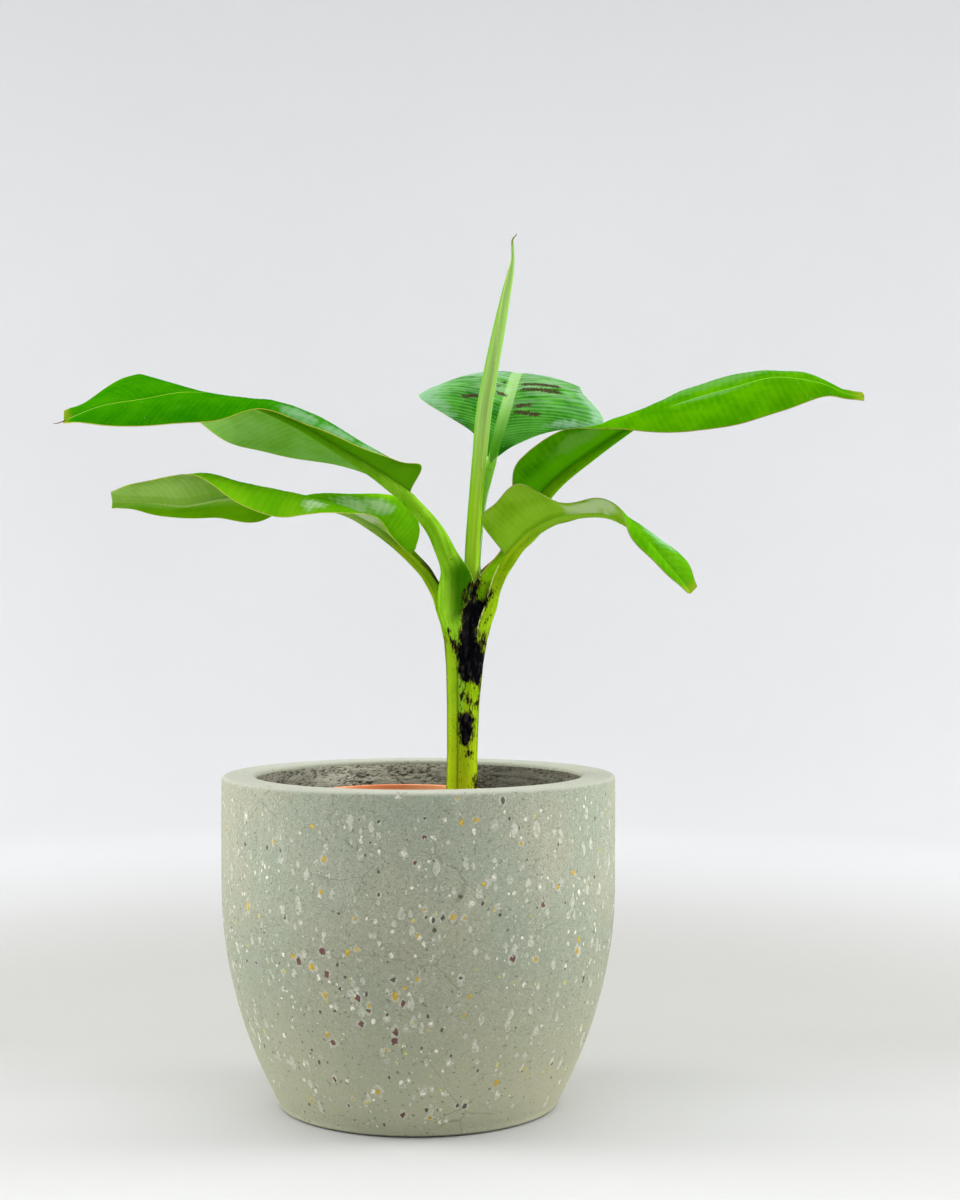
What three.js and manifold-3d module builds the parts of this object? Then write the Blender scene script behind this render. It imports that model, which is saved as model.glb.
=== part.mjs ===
// A young banana plant in an orange nursery pot that stands inside a heavy round planter.
// Millimetres, +Z up. The origin is the centre of the planter's flat underside.
// The plant is seen face on along +Y: -X is its left, +X its right and -Y its near side.
import * as THREE from "three";
import { mergeVertices } from "three/addons/utils/BufferGeometryUtils.js";
import Module from "manifold-3d";

const wasm = await Module();
wasm.setup();

// Gap kept between two pieces that touch on the real object.
const GAP = 0.3;

// Planter: a straight wall above a wall that curves in to a narrower foot.
const PLANTER_HEIGHT = 302;
const PLANTER_RADIUS = 180.5;
const PLANTER_WALL = 31;
const PLANTER_FLOOR = 30;
const PLANTER_CURVE_TOP = 205;
const PLANTER_CURVE_RADIUS = 410;
const PLANTER_FOOT_EDGE = 5;
const PLANTER_RIM_EDGE = 4;
const PLANTER_SIDES = 48;

// Bed of growing mix that fills the planter round the nursery pot.
const BED_TOP = 252;

// Nursery pot: a tapered cup with a rolled rim, off the planter's centre.
const NURSERY_X = -16;
const NURSERY_RIM_TOP = 284.4;
const NURSERY_HEIGHT = 143;
const NURSERY_RADIUS_TOP = 81;
const NURSERY_RADIUS_BOTTOM = 60;
const NURSERY_WALL = 2.5;
const NURSERY_LIP = 3;
const NURSERY_LIP_HEIGHT = 12;
const NURSERY_SIDES = 40;

// Soil surface inside the nursery pot, where the trunk is cut off flat.
const SOIL_TOP = 270;

// Trunk: the height, centre and half-widths of each level section, from the soil to the fork.
const TRUNK_SECTIONS = [
  { z: SOIL_TOP + GAP, x: 39.5, y: 0, halfX: 15.2, halfY: 15.2 },
  { z: 292, x: 39.8, y: 0, halfX: 14.7, halfY: 14.7 },
  { z: 322, x: 40.2, y: 0, halfX: 14.3, halfY: 14.4 },
  { z: 366, x: 41, y: 0, halfX: 15.2, halfY: 15 },
  { z: 403, x: 42.4, y: 0, halfX: 17.5, halfY: 16.5 },
  { z: 425, x: 43.3, y: 0, halfX: 20.3, halfY: 18 },
  { z: 440, x: 43.6, y: 1, halfX: 24, halfY: 20 },
  { z: 454.5, x: 43.6, y: 1.5, halfX: 29, halfY: 23 },
];
const TRUNK_SIDES = 24;
const FORK_TOP = TRUNK_SECTIONS[TRUNK_SECTIONS.length - 1].z;

// Leaf stalks: centre points from the fork up, the radius at each of them and at the blade, and
// how far short of the first point of the blade's rib a stalk stops, so that the two stay clear.
const STALK_START = FORK_TOP + GAP;
const STALK_SIDES = 12;
const STALK_STEPS = 12;
const UPPER_LEFT_STALK = {
  centre: [[37, -13, STALK_START], [34, -14, 469], [31, -15, 489], [23, -16, 510], [12, -16, 530]],
  radius: [10.5, 10.5, 10, 9, 7.5, 6.5],
  endGap: 1.2,
};
const LOWER_LEFT_STALK = {
  centre: [[22, 2, STALK_START], [19, 1, 465], [12, 0, 478], [5, -2, 489]],
  radius: [6.5, 6.5, 6, 6, 6],
  endGap: 0.7,
};
const BACK_STALK = {
  centre: [[49.5, 19, STALK_START], [50, 21, 476], [52, 23, 504], [54.5, 27, 529], [58, 34, 556]],
  radius: [5.5, 5.5, 5.2, 5, 4.8, 4.5],
  endGap: 0.7,
};
const UPPER_RIGHT_STALK = {
  centre: [[62, 11, STALK_START], [65, 11, 471], [71, 15, 492], [81, 18, 510]],
  radius: [6.5, 6.5, 6.5, 6.5, 6.5],
  endGap: 0.8,
};
const LOWER_RIGHT_STALK = {
  centre: [[65, -8, STALK_START], [66.5, -9, 466], [71, -12, 478], [76, -16, 488]],
  radius: [8, 7.5, 7, 6.5, 6.2],
  endGap: 0.8,
};

// Spear: the rolled new leaf that stands up out of the fork.
const SPEAR = {
  centre: [
    [48.5, 1, STALK_START], [48.5, 2, 480], [50, 3, 517], [53, 4, 559], [56, 5, 596], [60, 6, 637],
    [67, 6, 677], [74, 6, 713], [80, 6, 743], [86, 6, 774], [90, 6, 800],
  ],
  radius: [7.3, 7.5, 7.6, 7.3, 7.5, 8, 6.2, 5.6, 4.2, 2.4, 0.8],
};
const SPEAR_STEPS = 24;

// Leaf blades. A station holds a point of the rib, the left and right edge points that its veins
// reach, as seen when looking out along the leaf, and how far the left and right halves arch up.
const BLADE_THICKNESS = 3.4;
const HALF_BLADE_STEPS = 5;
const BLADE_GAP = 0.8;

const UPPER_LEFT_BLADE = {
  keelDepth: 9,
  split: 0.5,
  stations: [
    { rib: [-9, -16, 554], left: [-7, -18, 562], right: [-10, -12, 555], arch: [0, 0] },
    { rib: [-22, -17, 564], left: [3, -24, 584], right: [-33, 14, 570], arch: [2, 3] },
    { rib: [-42, -18, 579], left: [-18, -42, 587], right: [-64, 30, 585], arch: [6, 5] },
    { rib: [-70, -19, 597], left: [-50, -66, 598], right: [-100, 38, 592], arch: [10, 6] },
    { rib: [-102, -20, 617], left: [-92, -78, 615], right: [-143, 36, 600], arch: [13, 6] },
    { rib: [-137, -22, 634], left: [-136, -80, 630], right: [-182, 32, 611], arch: [10, 5] },
    { rib: [-173, -26, 647], left: [-179, -78, 620], right: [-216, 34, 636], arch: [8, 4] },
    { rib: [-210, -32, 650], left: [-222, -78, 617], right: [-252, 28, 669], arch: [5, 3] },
    { rib: [-247, -40, 643], left: [-260, -76, 615], right: [-272, 8, 668], arch: [4, 2] },
    { rib: [-283, -48, 636], left: [-295, -68, 619], right: [-303, -18, 643], arch: [2, 2] },
    { rib: [-316, -54, 622], left: [-317, -54, 620], right: [-317, -48, 632], arch: [0, 0] },
  ],
};

const LOWER_LEFT_BLADE = {
  keelDepth: 7,
  split: 0.5,
  stations: [
    { rib: [-8, -4, 503], left: [-11, -9, 507], right: [-3, 0, 509], arch: [0, 0] },
    { rib: [-21, -6, 514], left: [-22, -22, 517], right: [0, 12, 530], arch: [1, 3] },
    { rib: [-39, -9, 527], left: [-37, -42, 536], right: [-16, 22, 557], arch: [3, 4] },
    { rib: [-63, -13, 541], left: [-67, -56, 540], right: [-60, 34, 561], arch: [5, 5] },
    { rib: [-92, -18, 549], left: [-98, -64, 538], right: [-105, 36, 559], arch: [10, 5] },
    { rib: [-121, -23, 553], left: [-126, -62, 536], right: [-151, 22, 535], arch: [16, 4] },
    { rib: [-151, -28, 555], left: [-160, -68, 549], right: [-190, 8, 538], arch: [15, 3] },
    { rib: [-179, -33, 553], left: [-194, -70, 572], right: [-221, -6, 537], arch: [13, 2] },
    { rib: [-209, -39, 547], left: [-217, -66, 572], right: [-246, -20, 541], arch: [5, 2] },
    { rib: [-239, -45, 549], left: [-250, -64, 566], right: [-264, -34, 545], arch: [4, 2] },
    { rib: [-273, -52, 550], left: [-274, -54, 559], right: [-274, -50, 544], arch: [0, 0] },
  ],
};

const BACK_BLADE = {
  keelDepth: 6,
  split: 0.58,
  stations: [
    { rib: [67, 42, 591], left: [65, 41, 594], right: [69, 42, 594], arch: [0, 0] },
    { rib: [70, 47, 605], left: [51, 45, 618], right: [94, 56, 611], arch: [2, 2] },
    { rib: [75, 57, 623], left: [24, 56, 637], right: [129, 76, 624], arch: [6, 6] },
    { rib: [81, 76, 645], left: [-2, 80, 656], right: [176, 104, 633], arch: [9, 8] },
    { rib: [87, 106, 666], left: [3, 124, 667], right: [159, 140, 666], arch: [9, 5] },
    { rib: [92, 146, 684], left: [18, 172, 677], right: [145, 180, 674], arch: [8, 5] },
    { rib: [96, 192, 691], left: [40, 218, 678], right: [135, 222, 672], arch: [7, 5] },
    { rib: [99, 236, 686], left: [67, 256, 671], right: [124, 260, 667], arch: [5, 4] },
    { rib: [101, 278, 665], left: [97, 279, 662], right: [106, 279, 662], arch: [0, 0] },
  ],
};

const UPPER_RIGHT_BLADE = {
  keelDepth: 9,
  split: 0.5,
  stations: [
    { rib: [93, 20, 526], left: [93, 26, 528], right: [90, 16, 532], arch: [0, 0] },
    { rib: [108, 21, 547], left: [100, 40, 556], right: [86, 2, 565], arch: [2, 2] },
    { rib: [131, 21, 573], left: [117, 50, 589], right: [93, -12, 591], arch: [4, 4] },
    { rib: [159, 20, 595], left: [145, 52, 613], right: [129, -22, 615], arch: [5, 5] },
    { rib: [188, 18, 616], left: [178, 54, 631], right: [168, -36, 617], arch: [5, 9] },
    { rib: [216, 15, 634], left: [216, 60, 643], right: [208, -34, 614], arch: [5, 9] },
    { rib: [251, 9, 647], left: [251, 64, 661], right: [248, -38, 614], arch: [4, 5] },
    { rib: [291, 0, 658], left: [292, 60, 674], right: [288, -44, 620], arch: [4, 4] },
    { rib: [328, -9, 666], left: [326, 44, 677], right: [326, -44, 631], arch: [3, 4] },
    { rib: [365, -19, 663], left: [361, 12, 671], right: [365, -36, 644], arch: [2, 2] },
    { rib: [404, -30, 645], left: [404, -27, 650], right: [402, -31, 641], arch: [0, 0] },
  ],
};

const LOWER_RIGHT_BLADE = {
  keelDepth: 7,
  split: 0.68,
  stations: [
    { rib: [82, -20, 497], left: [86, -17, 500], right: [81, -23, 501], arch: [0, 0] },
    { rib: [91, -23, 509], left: [99, -4, 510], right: [62, -34, 527], arch: [1, 1] },
    { rib: [105, -29, 523], left: [119, 6, 519], right: [66, -44, 542], arch: [3, 2] },
    { rib: [123, -37, 533], left: [147, 8, 528], right: [91, -58, 566], arch: [4, 4] },
    { rib: [144, -46, 538], left: [171, 0, 535], right: [124, -80, 548], arch: [4, 3] },
    { rib: [165, -56, 538], left: [188, -14, 535], right: [158, -92, 551], arch: [4, 3] },
    { rib: [181, -63, 532], left: [203, -28, 527], right: [176, -100, 544], arch: [4, 3] },
    { rib: [198, -71, 519], left: [220, -44, 514], right: [189, -102, 515], arch: [4, 6] },
    { rib: [218, -81, 497], left: [239, -60, 499], right: [213, -104, 490], arch: [3, 3] },
    { rib: [241, -92, 468], left: [247, -88, 474], right: [238, -94, 468], arch: [0, 0] },
  ],
};

const MATERIALS = {
  concrete: new THREE.MeshStandardMaterial({ color: 0xaab09f, roughness: 0.85, metalness: 0 }),
  mix: new THREE.MeshStandardMaterial({ color: 0x4a3b2e, roughness: 1, metalness: 0 }),
  orangePlastic: new THREE.MeshStandardMaterial({ color: 0xd9825f, roughness: 0.55, metalness: 0 }),
  trunk: new THREE.MeshStandardMaterial({ color: 0x9dbb34, roughness: 0.5, metalness: 0 }),
  stalk: new THREE.MeshStandardMaterial({ color: 0x84b52a, roughness: 0.45, metalness: 0 }),
  leaf: new THREE.MeshStandardMaterial({ color: 0x4c9c1c, roughness: 0.4, metalness: 0 }),
};

const group = new THREE.Group();

// Adds one named mesh to the plant.
function addMesh(name, geometry, material, x = 0) {
  const mesh = new THREE.Mesh(geometry, material);
  mesh.name = name;
  mesh.position.x = x;
  group.add(mesh);
}

// Points of a round edge from one angle to another, in degrees, about a centre.
function arcPoints(centreX, centreY, radius, fromDegrees, toDegrees, steps) {
  const points = [];
  for (let i = 0; i <= steps; i++) {
    const angle = THREE.MathUtils.degToRad(THREE.MathUtils.lerp(fromDegrees, toDegrees, i / steps));
    points.push(new THREE.Vector2(centreX + radius * Math.cos(angle), centreY + radius * Math.sin(angle)));
  }
  return points;
}

// Radius of the planter's wall at a height, measured a given depth inside the outer face.
function planterWallRadius(z, depth) {
  const straight = PLANTER_RADIUS - depth;
  if (z >= PLANTER_CURVE_TOP) return straight;
  const arcRadius = PLANTER_CURVE_RADIUS - depth;
  const drop = PLANTER_CURVE_TOP - z;
  return straight - arcRadius + Math.sqrt(arcRadius * arcRadius - drop * drop);
}

// The wall's outline between two heights, with enough steps for its curve.
function planterWallPoints(fromZ, toZ, depth, steps) {
  const points = [];
  for (let i = 0; i <= steps; i++) {
    const z = THREE.MathUtils.lerp(fromZ, toZ, i / steps);
    points.push(new THREE.Vector2(planterWallRadius(z, depth), z));
  }
  return points;
}

function makePlanter() {
  const footZ = PLANTER_FOOT_EDGE;
  const footRadius = planterWallRadius(footZ, 0) - PLANTER_FOOT_EDGE;
  const rimZ = PLANTER_HEIGHT - PLANTER_RIM_EDGE;
  const innerRadius = PLANTER_RADIUS - PLANTER_WALL;
  const outline = [
    new THREE.Vector2(0, 0),
    ...arcPoints(footRadius, footZ, PLANTER_FOOT_EDGE, -90, 0, 3),
    ...planterWallPoints(footZ, PLANTER_CURVE_TOP, 0, 12).slice(1),
    ...arcPoints(PLANTER_RADIUS - PLANTER_RIM_EDGE, rimZ, PLANTER_RIM_EDGE, 0, 90, 3),
    ...arcPoints(innerRadius + PLANTER_RIM_EDGE, rimZ, PLANTER_RIM_EDGE, 90, 180, 3),
    ...planterWallPoints(PLANTER_CURVE_TOP, PLANTER_FLOOR, PLANTER_WALL, 8),
    new THREE.Vector2(0, PLANTER_FLOOR),
  ];
  addMesh("planter", latheSolid(outline, PLANTER_SIDES), MATERIALS.concrete);
}

// A lathe about +Z from an outline of radius and height that starts and ends on the axis.
function latheSolid(outline, sides) {
  return new THREE.LatheGeometry(outline, sides).rotateX(Math.PI / 2);
}

// Outer radius of the nursery pot's tapered wall at a height.
function nurseryRadius(z) {
  const bottom = NURSERY_RIM_TOP - NURSERY_HEIGHT;
  const share = (z - bottom) / NURSERY_HEIGHT;
  return THREE.MathUtils.lerp(NURSERY_RADIUS_BOTTOM, NURSERY_RADIUS_TOP, share);
}

function makeNurseryPot() {
  const bottom = NURSERY_RIM_TOP - NURSERY_HEIGHT;
  const floor = bottom + NURSERY_WALL;
  const lipFoot = NURSERY_RIM_TOP - NURSERY_LIP_HEIGHT;
  const lipRadius = NURSERY_RADIUS_TOP + NURSERY_LIP;
  const rimEdge = NURSERY_WALL / 2;
  const innerTop = NURSERY_RADIUS_TOP - NURSERY_WALL;
  const outline = [
    new THREE.Vector2(0, bottom),
    new THREE.Vector2(NURSERY_RADIUS_BOTTOM, bottom),
    new THREE.Vector2(nurseryRadius(lipFoot), lipFoot),
    new THREE.Vector2(lipRadius, lipFoot + NURSERY_LIP / 2),
    ...arcPoints(lipRadius - rimEdge, NURSERY_RIM_TOP - rimEdge, rimEdge, 0, 90, 3),
    ...arcPoints(innerTop + rimEdge, NURSERY_RIM_TOP - rimEdge, rimEdge, 90, 180, 3),
    new THREE.Vector2(nurseryRadius(floor) - NURSERY_WALL, floor),
    new THREE.Vector2(0, floor),
  ];
  addMesh("nursery_pot", latheSolid(outline, NURSERY_SIDES), MATERIALS.orangePlastic, NURSERY_X);
}

function makePottingSoil() {
  const floor = NURSERY_RIM_TOP - NURSERY_HEIGHT + NURSERY_WALL + GAP;
  const inset = NURSERY_WALL + GAP;
  const outline = [
    new THREE.Vector2(0, floor),
    new THREE.Vector2(nurseryRadius(floor) - inset, floor),
    new THREE.Vector2(nurseryRadius(SOIL_TOP) - inset, SOIL_TOP),
    new THREE.Vector2(0, SOIL_TOP),
  ];
  addMesh("potting_soil", latheSolid(outline, NURSERY_SIDES), MATERIALS.mix, NURSERY_X);
}

// A closed geometry as a solid that can be cut.
function toSolid(geometry) {
  const bare = geometry.clone();
  bare.deleteAttribute("normal");
  bare.deleteAttribute("uv");
  const merged = mergeVertices(bare, 1e-3);
  const mesh = new wasm.Mesh({
    numProp: 3,
    vertProperties: new Float32Array(merged.attributes.position.array),
    triVerts: new Uint32Array(merged.index.array),
  });
  return new wasm.Manifold(mesh);
}

// A solid's surface as a geometry.
function toGeometry(solid) {
  const mesh = solid.getMesh();
  const geometry = new THREE.BufferGeometry();
  geometry.setAttribute("position", new THREE.BufferAttribute(mesh.vertProperties, 3));
  geometry.setIndex(new THREE.BufferAttribute(mesh.triVerts, 1));
  geometry.computeVertexNormals();
  return geometry;
}

// The bed reaches the planter's wall and holds the nursery pot in a recess of its own shape.
function makePlanterBed() {
  const floor = PLANTER_FLOOR + GAP;
  const inset = PLANTER_WALL + 2 * GAP;
  const outline = [
    new THREE.Vector2(0, floor),
    ...planterWallPoints(floor, PLANTER_CURVE_TOP, inset, 8),
    new THREE.Vector2(planterWallRadius(BED_TOP, inset), BED_TOP),
    new THREE.Vector2(0, BED_TOP),
  ];
  const recessFloor = NURSERY_RIM_TOP - NURSERY_HEIGHT - GAP;
  const recess = [
    new THREE.Vector2(0, recessFloor),
    new THREE.Vector2(nurseryRadius(recessFloor) + GAP, recessFloor),
    new THREE.Vector2(nurseryRadius(NURSERY_RIM_TOP) + GAP, NURSERY_RIM_TOP),
    new THREE.Vector2(0, NURSERY_RIM_TOP),
  ];
  const bed = toSolid(latheSolid(outline, PLANTER_SIDES));
  const hollow = toSolid(latheSolid(recess, NURSERY_SIDES).translate(NURSERY_X, 0, 0));
  addMesh("planter_bed", toGeometry(bed.subtract(hollow)), MATERIALS.mix);
}

// A closed skin through successive rings of equal point counts. Each ring runs once round its
// section, and its second half runs back beside its first, so a strip between them caps the end.
function ringSolid(rings) {
  const count = rings[0].length;
  const positions = rings.flat().flatMap((point) => point.toArray());
  const triangles = [];
  for (let i = 0; i + 1 < rings.length; i++) {
    for (let j = 0; j < count; j++) {
      const next = (j + 1) % count;
      const a = i * count + j;
      const b = i * count + next;
      triangles.push(a, b, b + count, a, b + count, a + count);
    }
  }
  const last = (rings.length - 1) * count;
  for (let j = 0; j < count / 2 - 1; j++) {
    const back = count - 1 - j;
    triangles.push(j, back, back - 1, j, back - 1, j + 1);
    triangles.push(last + j, last + back - 1, last + back, last + j, last + j + 1, last + back - 1);
  }
  const geometry = new THREE.BufferGeometry();
  geometry.setAttribute("position", new THREE.Float32BufferAttribute(positions, 3));
  geometry.setIndex(triangles);
  geometry.computeVertexNormals();
  return geometry;
}

// An oval ring about a centre, in the plane of two axes.
function ovalRing(centre, axisU, axisV, halfU, halfV, sides) {
  const ring = [];
  for (let j = 0; j < sides; j++) {
    const angle = ((j + 0.5) / sides) * 2 * Math.PI;
    const point = centre.clone();
    point.addScaledVector(axisU, halfU * Math.cos(angle));
    point.addScaledVector(axisV, halfV * Math.sin(angle));
    ring.push(point);
  }
  return ring;
}

function makeTrunk() {
  const axisX = new THREE.Vector3(1, 0, 0);
  const axisY = new THREE.Vector3(0, 1, 0);
  const rings = TRUNK_SECTIONS.map((section) => {
    const centre = new THREE.Vector3(section.x, section.y, section.z);
    return ovalRing(centre, axisX, axisY, section.halfX, section.halfY, TRUNK_SIDES);
  });
  addMesh("trunk", ringSolid(rings), MATERIALS.trunk);
}

// A smooth curve through points given as number triples.
function smoothCurve(points) {
  const vectors = points.map((point) => new THREE.Vector3(...point));
  return new THREE.CatmullRomCurve3(vectors, false, "catmullrom", 0.5);
}

// A round stem through centre points, with a level lower end and a radius that changes along it.
function makeStem(name, centrePoints, radii, steps, endGap, material) {
  const centre = smoothCurve(centrePoints);
  const radius = smoothCurve(radii.map((value) => [value, 0, 0]));
  const lastShare = 1 - endGap / centre.getLength();
  const acrossY = new THREE.Vector3(0, 1, 0);
  const rings = [];
  for (let i = 0; i <= steps; i++) {
    const share = (i / steps) * lastShare;
    const along = i === 0 ? new THREE.Vector3(0, 0, 1) : centre.getTangent(share);
    const side = new THREE.Vector3().crossVectors(acrossY, along).normalize();
    const depth = new THREE.Vector3().crossVectors(along, side);
    const size = radius.getPoint(share).x;
    rings.push(ovalRing(centre.getPoint(share), side, depth, size, size, STALK_SIDES));
  }
  addMesh(name, ringSolid(rings), material);
}

// Middle surface of one half of a blade at a share of its length, from the rib out to the edge.
function halfBladeRow(rib, along, edge, arch, turn) {
  const outward = edge.clone().sub(rib);
  const up = new THREE.Vector3().crossVectors(along, outward).multiplyScalar(turn).normalize();
  const control = rib.clone().add(edge).multiplyScalar(0.5).addScaledVector(up, 2 * arch);
  const curve = new THREE.QuadraticBezierCurve3(rib, control, edge);
  return curve.getPoints(HALF_BLADE_STEPS);
}

// The row of middle-surface points across the whole blade, from its left edge to its right.
function bladeRow(curves, share) {
  const rib = curves.rib.getPoint(share);
  const along = curves.rib.getTangent(share);
  const arch = curves.arch.getPoint(share);
  const left = halfBladeRow(rib, along, curves.left.getPoint(share), arch.x, 1);
  const right = halfBladeRow(rib, along, curves.right.getPoint(share), arch.y, -1);
  return [...left.reverse(), ...right.slice(1)];
}

// Upward normals of a row, from its own points and from the rows just before and after it.
function rowNormals(row, before, after) {
  return row.map((point, j) => {
    const across = row[Math.min(j + 1, row.length - 1)].clone().sub(row[Math.max(j - 1, 0)]);
    const along = after[j].clone().sub(before[j]);
    return new THREE.Vector3().crossVectors(across, along).normalize();
  });
}

// A length of blade between two shares of the leaf, with a keel under its rib.
function makeBladePart(name, blade, fromShare, toShare, steps) {
  const curves = {
    rib: smoothCurve(blade.stations.map((station) => station.rib)),
    left: smoothCurve(blade.stations.map((station) => station.left)),
    right: smoothCurve(blade.stations.map((station) => station.right)),
    arch: smoothCurve(blade.stations.map((station) => [...station.arch, 0])),
  };
  const reach = 0.01;
  const half = BLADE_THICKNESS / 2;
  const rings = [];
  for (let i = 0; i <= steps; i++) {
    const share = THREE.MathUtils.lerp(fromShare, toShare, i / steps);
    const row = bladeRow(curves, share);
    const before = bladeRow(curves, Math.max(share - reach, 0));
    const after = bladeRow(curves, Math.min(share + reach, 1));
    const normals = rowNormals(row, before, after);
    const keel = blade.keelDepth * (1 - share);
    const top = row.map((point, j) => point.clone().addScaledVector(normals[j], half));
    const bottom = row.map((point, j) => {
      const depth = j === HALF_BLADE_STEPS ? half + keel : half;
      return point.clone().addScaledVector(normals[j], -depth);
    });
    rings.push([...top, ...bottom.reverse()]);
  }
  addMesh(name, ringSolid(rings), MATERIALS.leaf);
}

// A whole leaf: its stalk, and its blade as an inner and an outer part that meet at its bend.
function makeLeaf(name, stalk, blade) {
  const ribPoints = blade.stations.map((station) => station.rib);
  const stalkCentre = [...stalk.centre, ribPoints[0]];
  makeStem(name + "_stalk", stalkCentre, stalk.radius, STALK_STEPS, stalk.endGap, MATERIALS.stalk);
  const length = smoothCurve(ribPoints).getLength();
  const halfGap = BLADE_GAP / 2 / length;
  makeBladePart(name + "_blade_inner", blade, 0, blade.split - halfGap, 14);
  makeBladePart(name + "_blade_outer", blade, blade.split + halfGap, 1, 12);
}

makePlanter();
makePlanterBed();
makeNurseryPot();
makePottingSoil();
makeTrunk();
makeStem("spear", SPEAR.centre, SPEAR.radius, SPEAR_STEPS, 0, MATERIALS.stalk);
makeLeaf("upper_left", UPPER_LEFT_STALK, UPPER_LEFT_BLADE);
makeLeaf("lower_left", LOWER_LEFT_STALK, LOWER_LEFT_BLADE);
makeLeaf("back", BACK_STALK, BACK_BLADE);
makeLeaf("upper_right", UPPER_RIGHT_STALK, UPPER_RIGHT_BLADE);
makeLeaf("lower_right", LOWER_RIGHT_STALK, LOWER_RIGHT_BLADE);

export default group;
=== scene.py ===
import math
import random

import bpy
import numpy as np
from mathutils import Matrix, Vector, noise


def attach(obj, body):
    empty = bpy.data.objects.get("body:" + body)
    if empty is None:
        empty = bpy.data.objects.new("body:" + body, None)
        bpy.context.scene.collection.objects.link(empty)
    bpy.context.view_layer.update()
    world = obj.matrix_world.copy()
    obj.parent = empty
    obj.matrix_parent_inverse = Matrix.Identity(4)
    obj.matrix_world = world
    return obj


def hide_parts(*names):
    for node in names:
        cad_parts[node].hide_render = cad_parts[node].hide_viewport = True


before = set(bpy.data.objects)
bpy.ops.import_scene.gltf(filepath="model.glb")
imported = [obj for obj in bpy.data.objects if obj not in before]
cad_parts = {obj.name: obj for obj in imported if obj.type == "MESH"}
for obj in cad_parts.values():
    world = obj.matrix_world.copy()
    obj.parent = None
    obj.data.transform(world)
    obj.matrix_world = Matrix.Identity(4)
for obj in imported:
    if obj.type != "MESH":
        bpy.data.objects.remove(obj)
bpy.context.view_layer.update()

MM = 0.001

# Planter, as in the solids.
PLANTER_HEIGHT = 302
PLANTER_RADIUS = 180.5
PLANTER_WALL = 31
PLANTER_FLOOR = 30
PLANTER_CURVE_TOP = 205
PLANTER_CURVE_RADIUS = 410
PLANTER_FOOT_EDGE = 5
PLANTER_RIM_EDGE = 4
FOOT_RECESS = 2.2
FOOT_STEP = 3
BED_TOP = 252

# Nursery pot and its soil, as in the solids.
NURSERY_X = -16
NURSERY_RIM_TOP = 284.4
NURSERY_HEIGHT = 143
NURSERY_RADIUS_TOP = 81
NURSERY_RADIUS_BOTTOM = 60
NURSERY_WALL = 2.5
NURSERY_LIP = 3
NURSERY_LIP_HEIGHT = 12
SOIL_TOP = 270
MIX_GAP = 0.6
BED_SKIRT_FOOT = 60
SOIL_SKIRT_FOOT = 150
# Lumps, crumbs and grains in the mix's top: how high they rise and how wide they are.
MIX_BUMPS = ((1.6, 22), (1.1, 4), (0.6, 2))

# Trunk: height, centre x and y, half-widths along x and y.
TRUNK_SECTIONS = [
    (270.3, 39.5, 0, 15.2, 15.2),
    (292, 39.8, 0, 14.7, 14.7),
    (322, 40.2, 0, 14.3, 14.4),
    (366, 41, 0, 15.2, 15),
    (403, 42.4, 0, 17.5, 16.5),
    (425, 43.3, 0, 20.3, 18),
    (440, 43.6, 1, 24, 20),
    (454.5, 43.6, 1.5, 29, 23),
    (480, 43.6, 2, 37, 29),
]
STEM_FOOT = 265
FORK_TOP = 454.8

# Spear: the rolled new leaf.
SPEAR_GIRTH = 46
SPEAR_CENTRE = [
    (48, 1, 454.8), (48, 2, 480), (49.5, 3, 517), (52.5, 4, 559), (56, 5, 596), (60, 6, 637),
    (67, 6, 677), (74, 6, 713), (80, 6, 743), (84, 6, 762), (86.4, 6, 776), (86.4, 6, 787),
    (86.4, 6, 794.5), (90.4, 6, 800),
]
SPEAR_RADIUS = [7.3, 7.4, 7.3, 7.1, 7.5, 7.9, 7.3, 6.5, 5, 3.7, 2, 1.5, 0.9, 0.35]
# Angle of its seam at shares of its length, and how far round from it the second seam lies.
SPEAR_SEAM_SHARES = [0, 0.45, 0.6, 1]
SPEAR_SEAM_DEGREES = [300, 292, 240, 150]
SPEAR_SECOND_SEAM = 150

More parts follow.
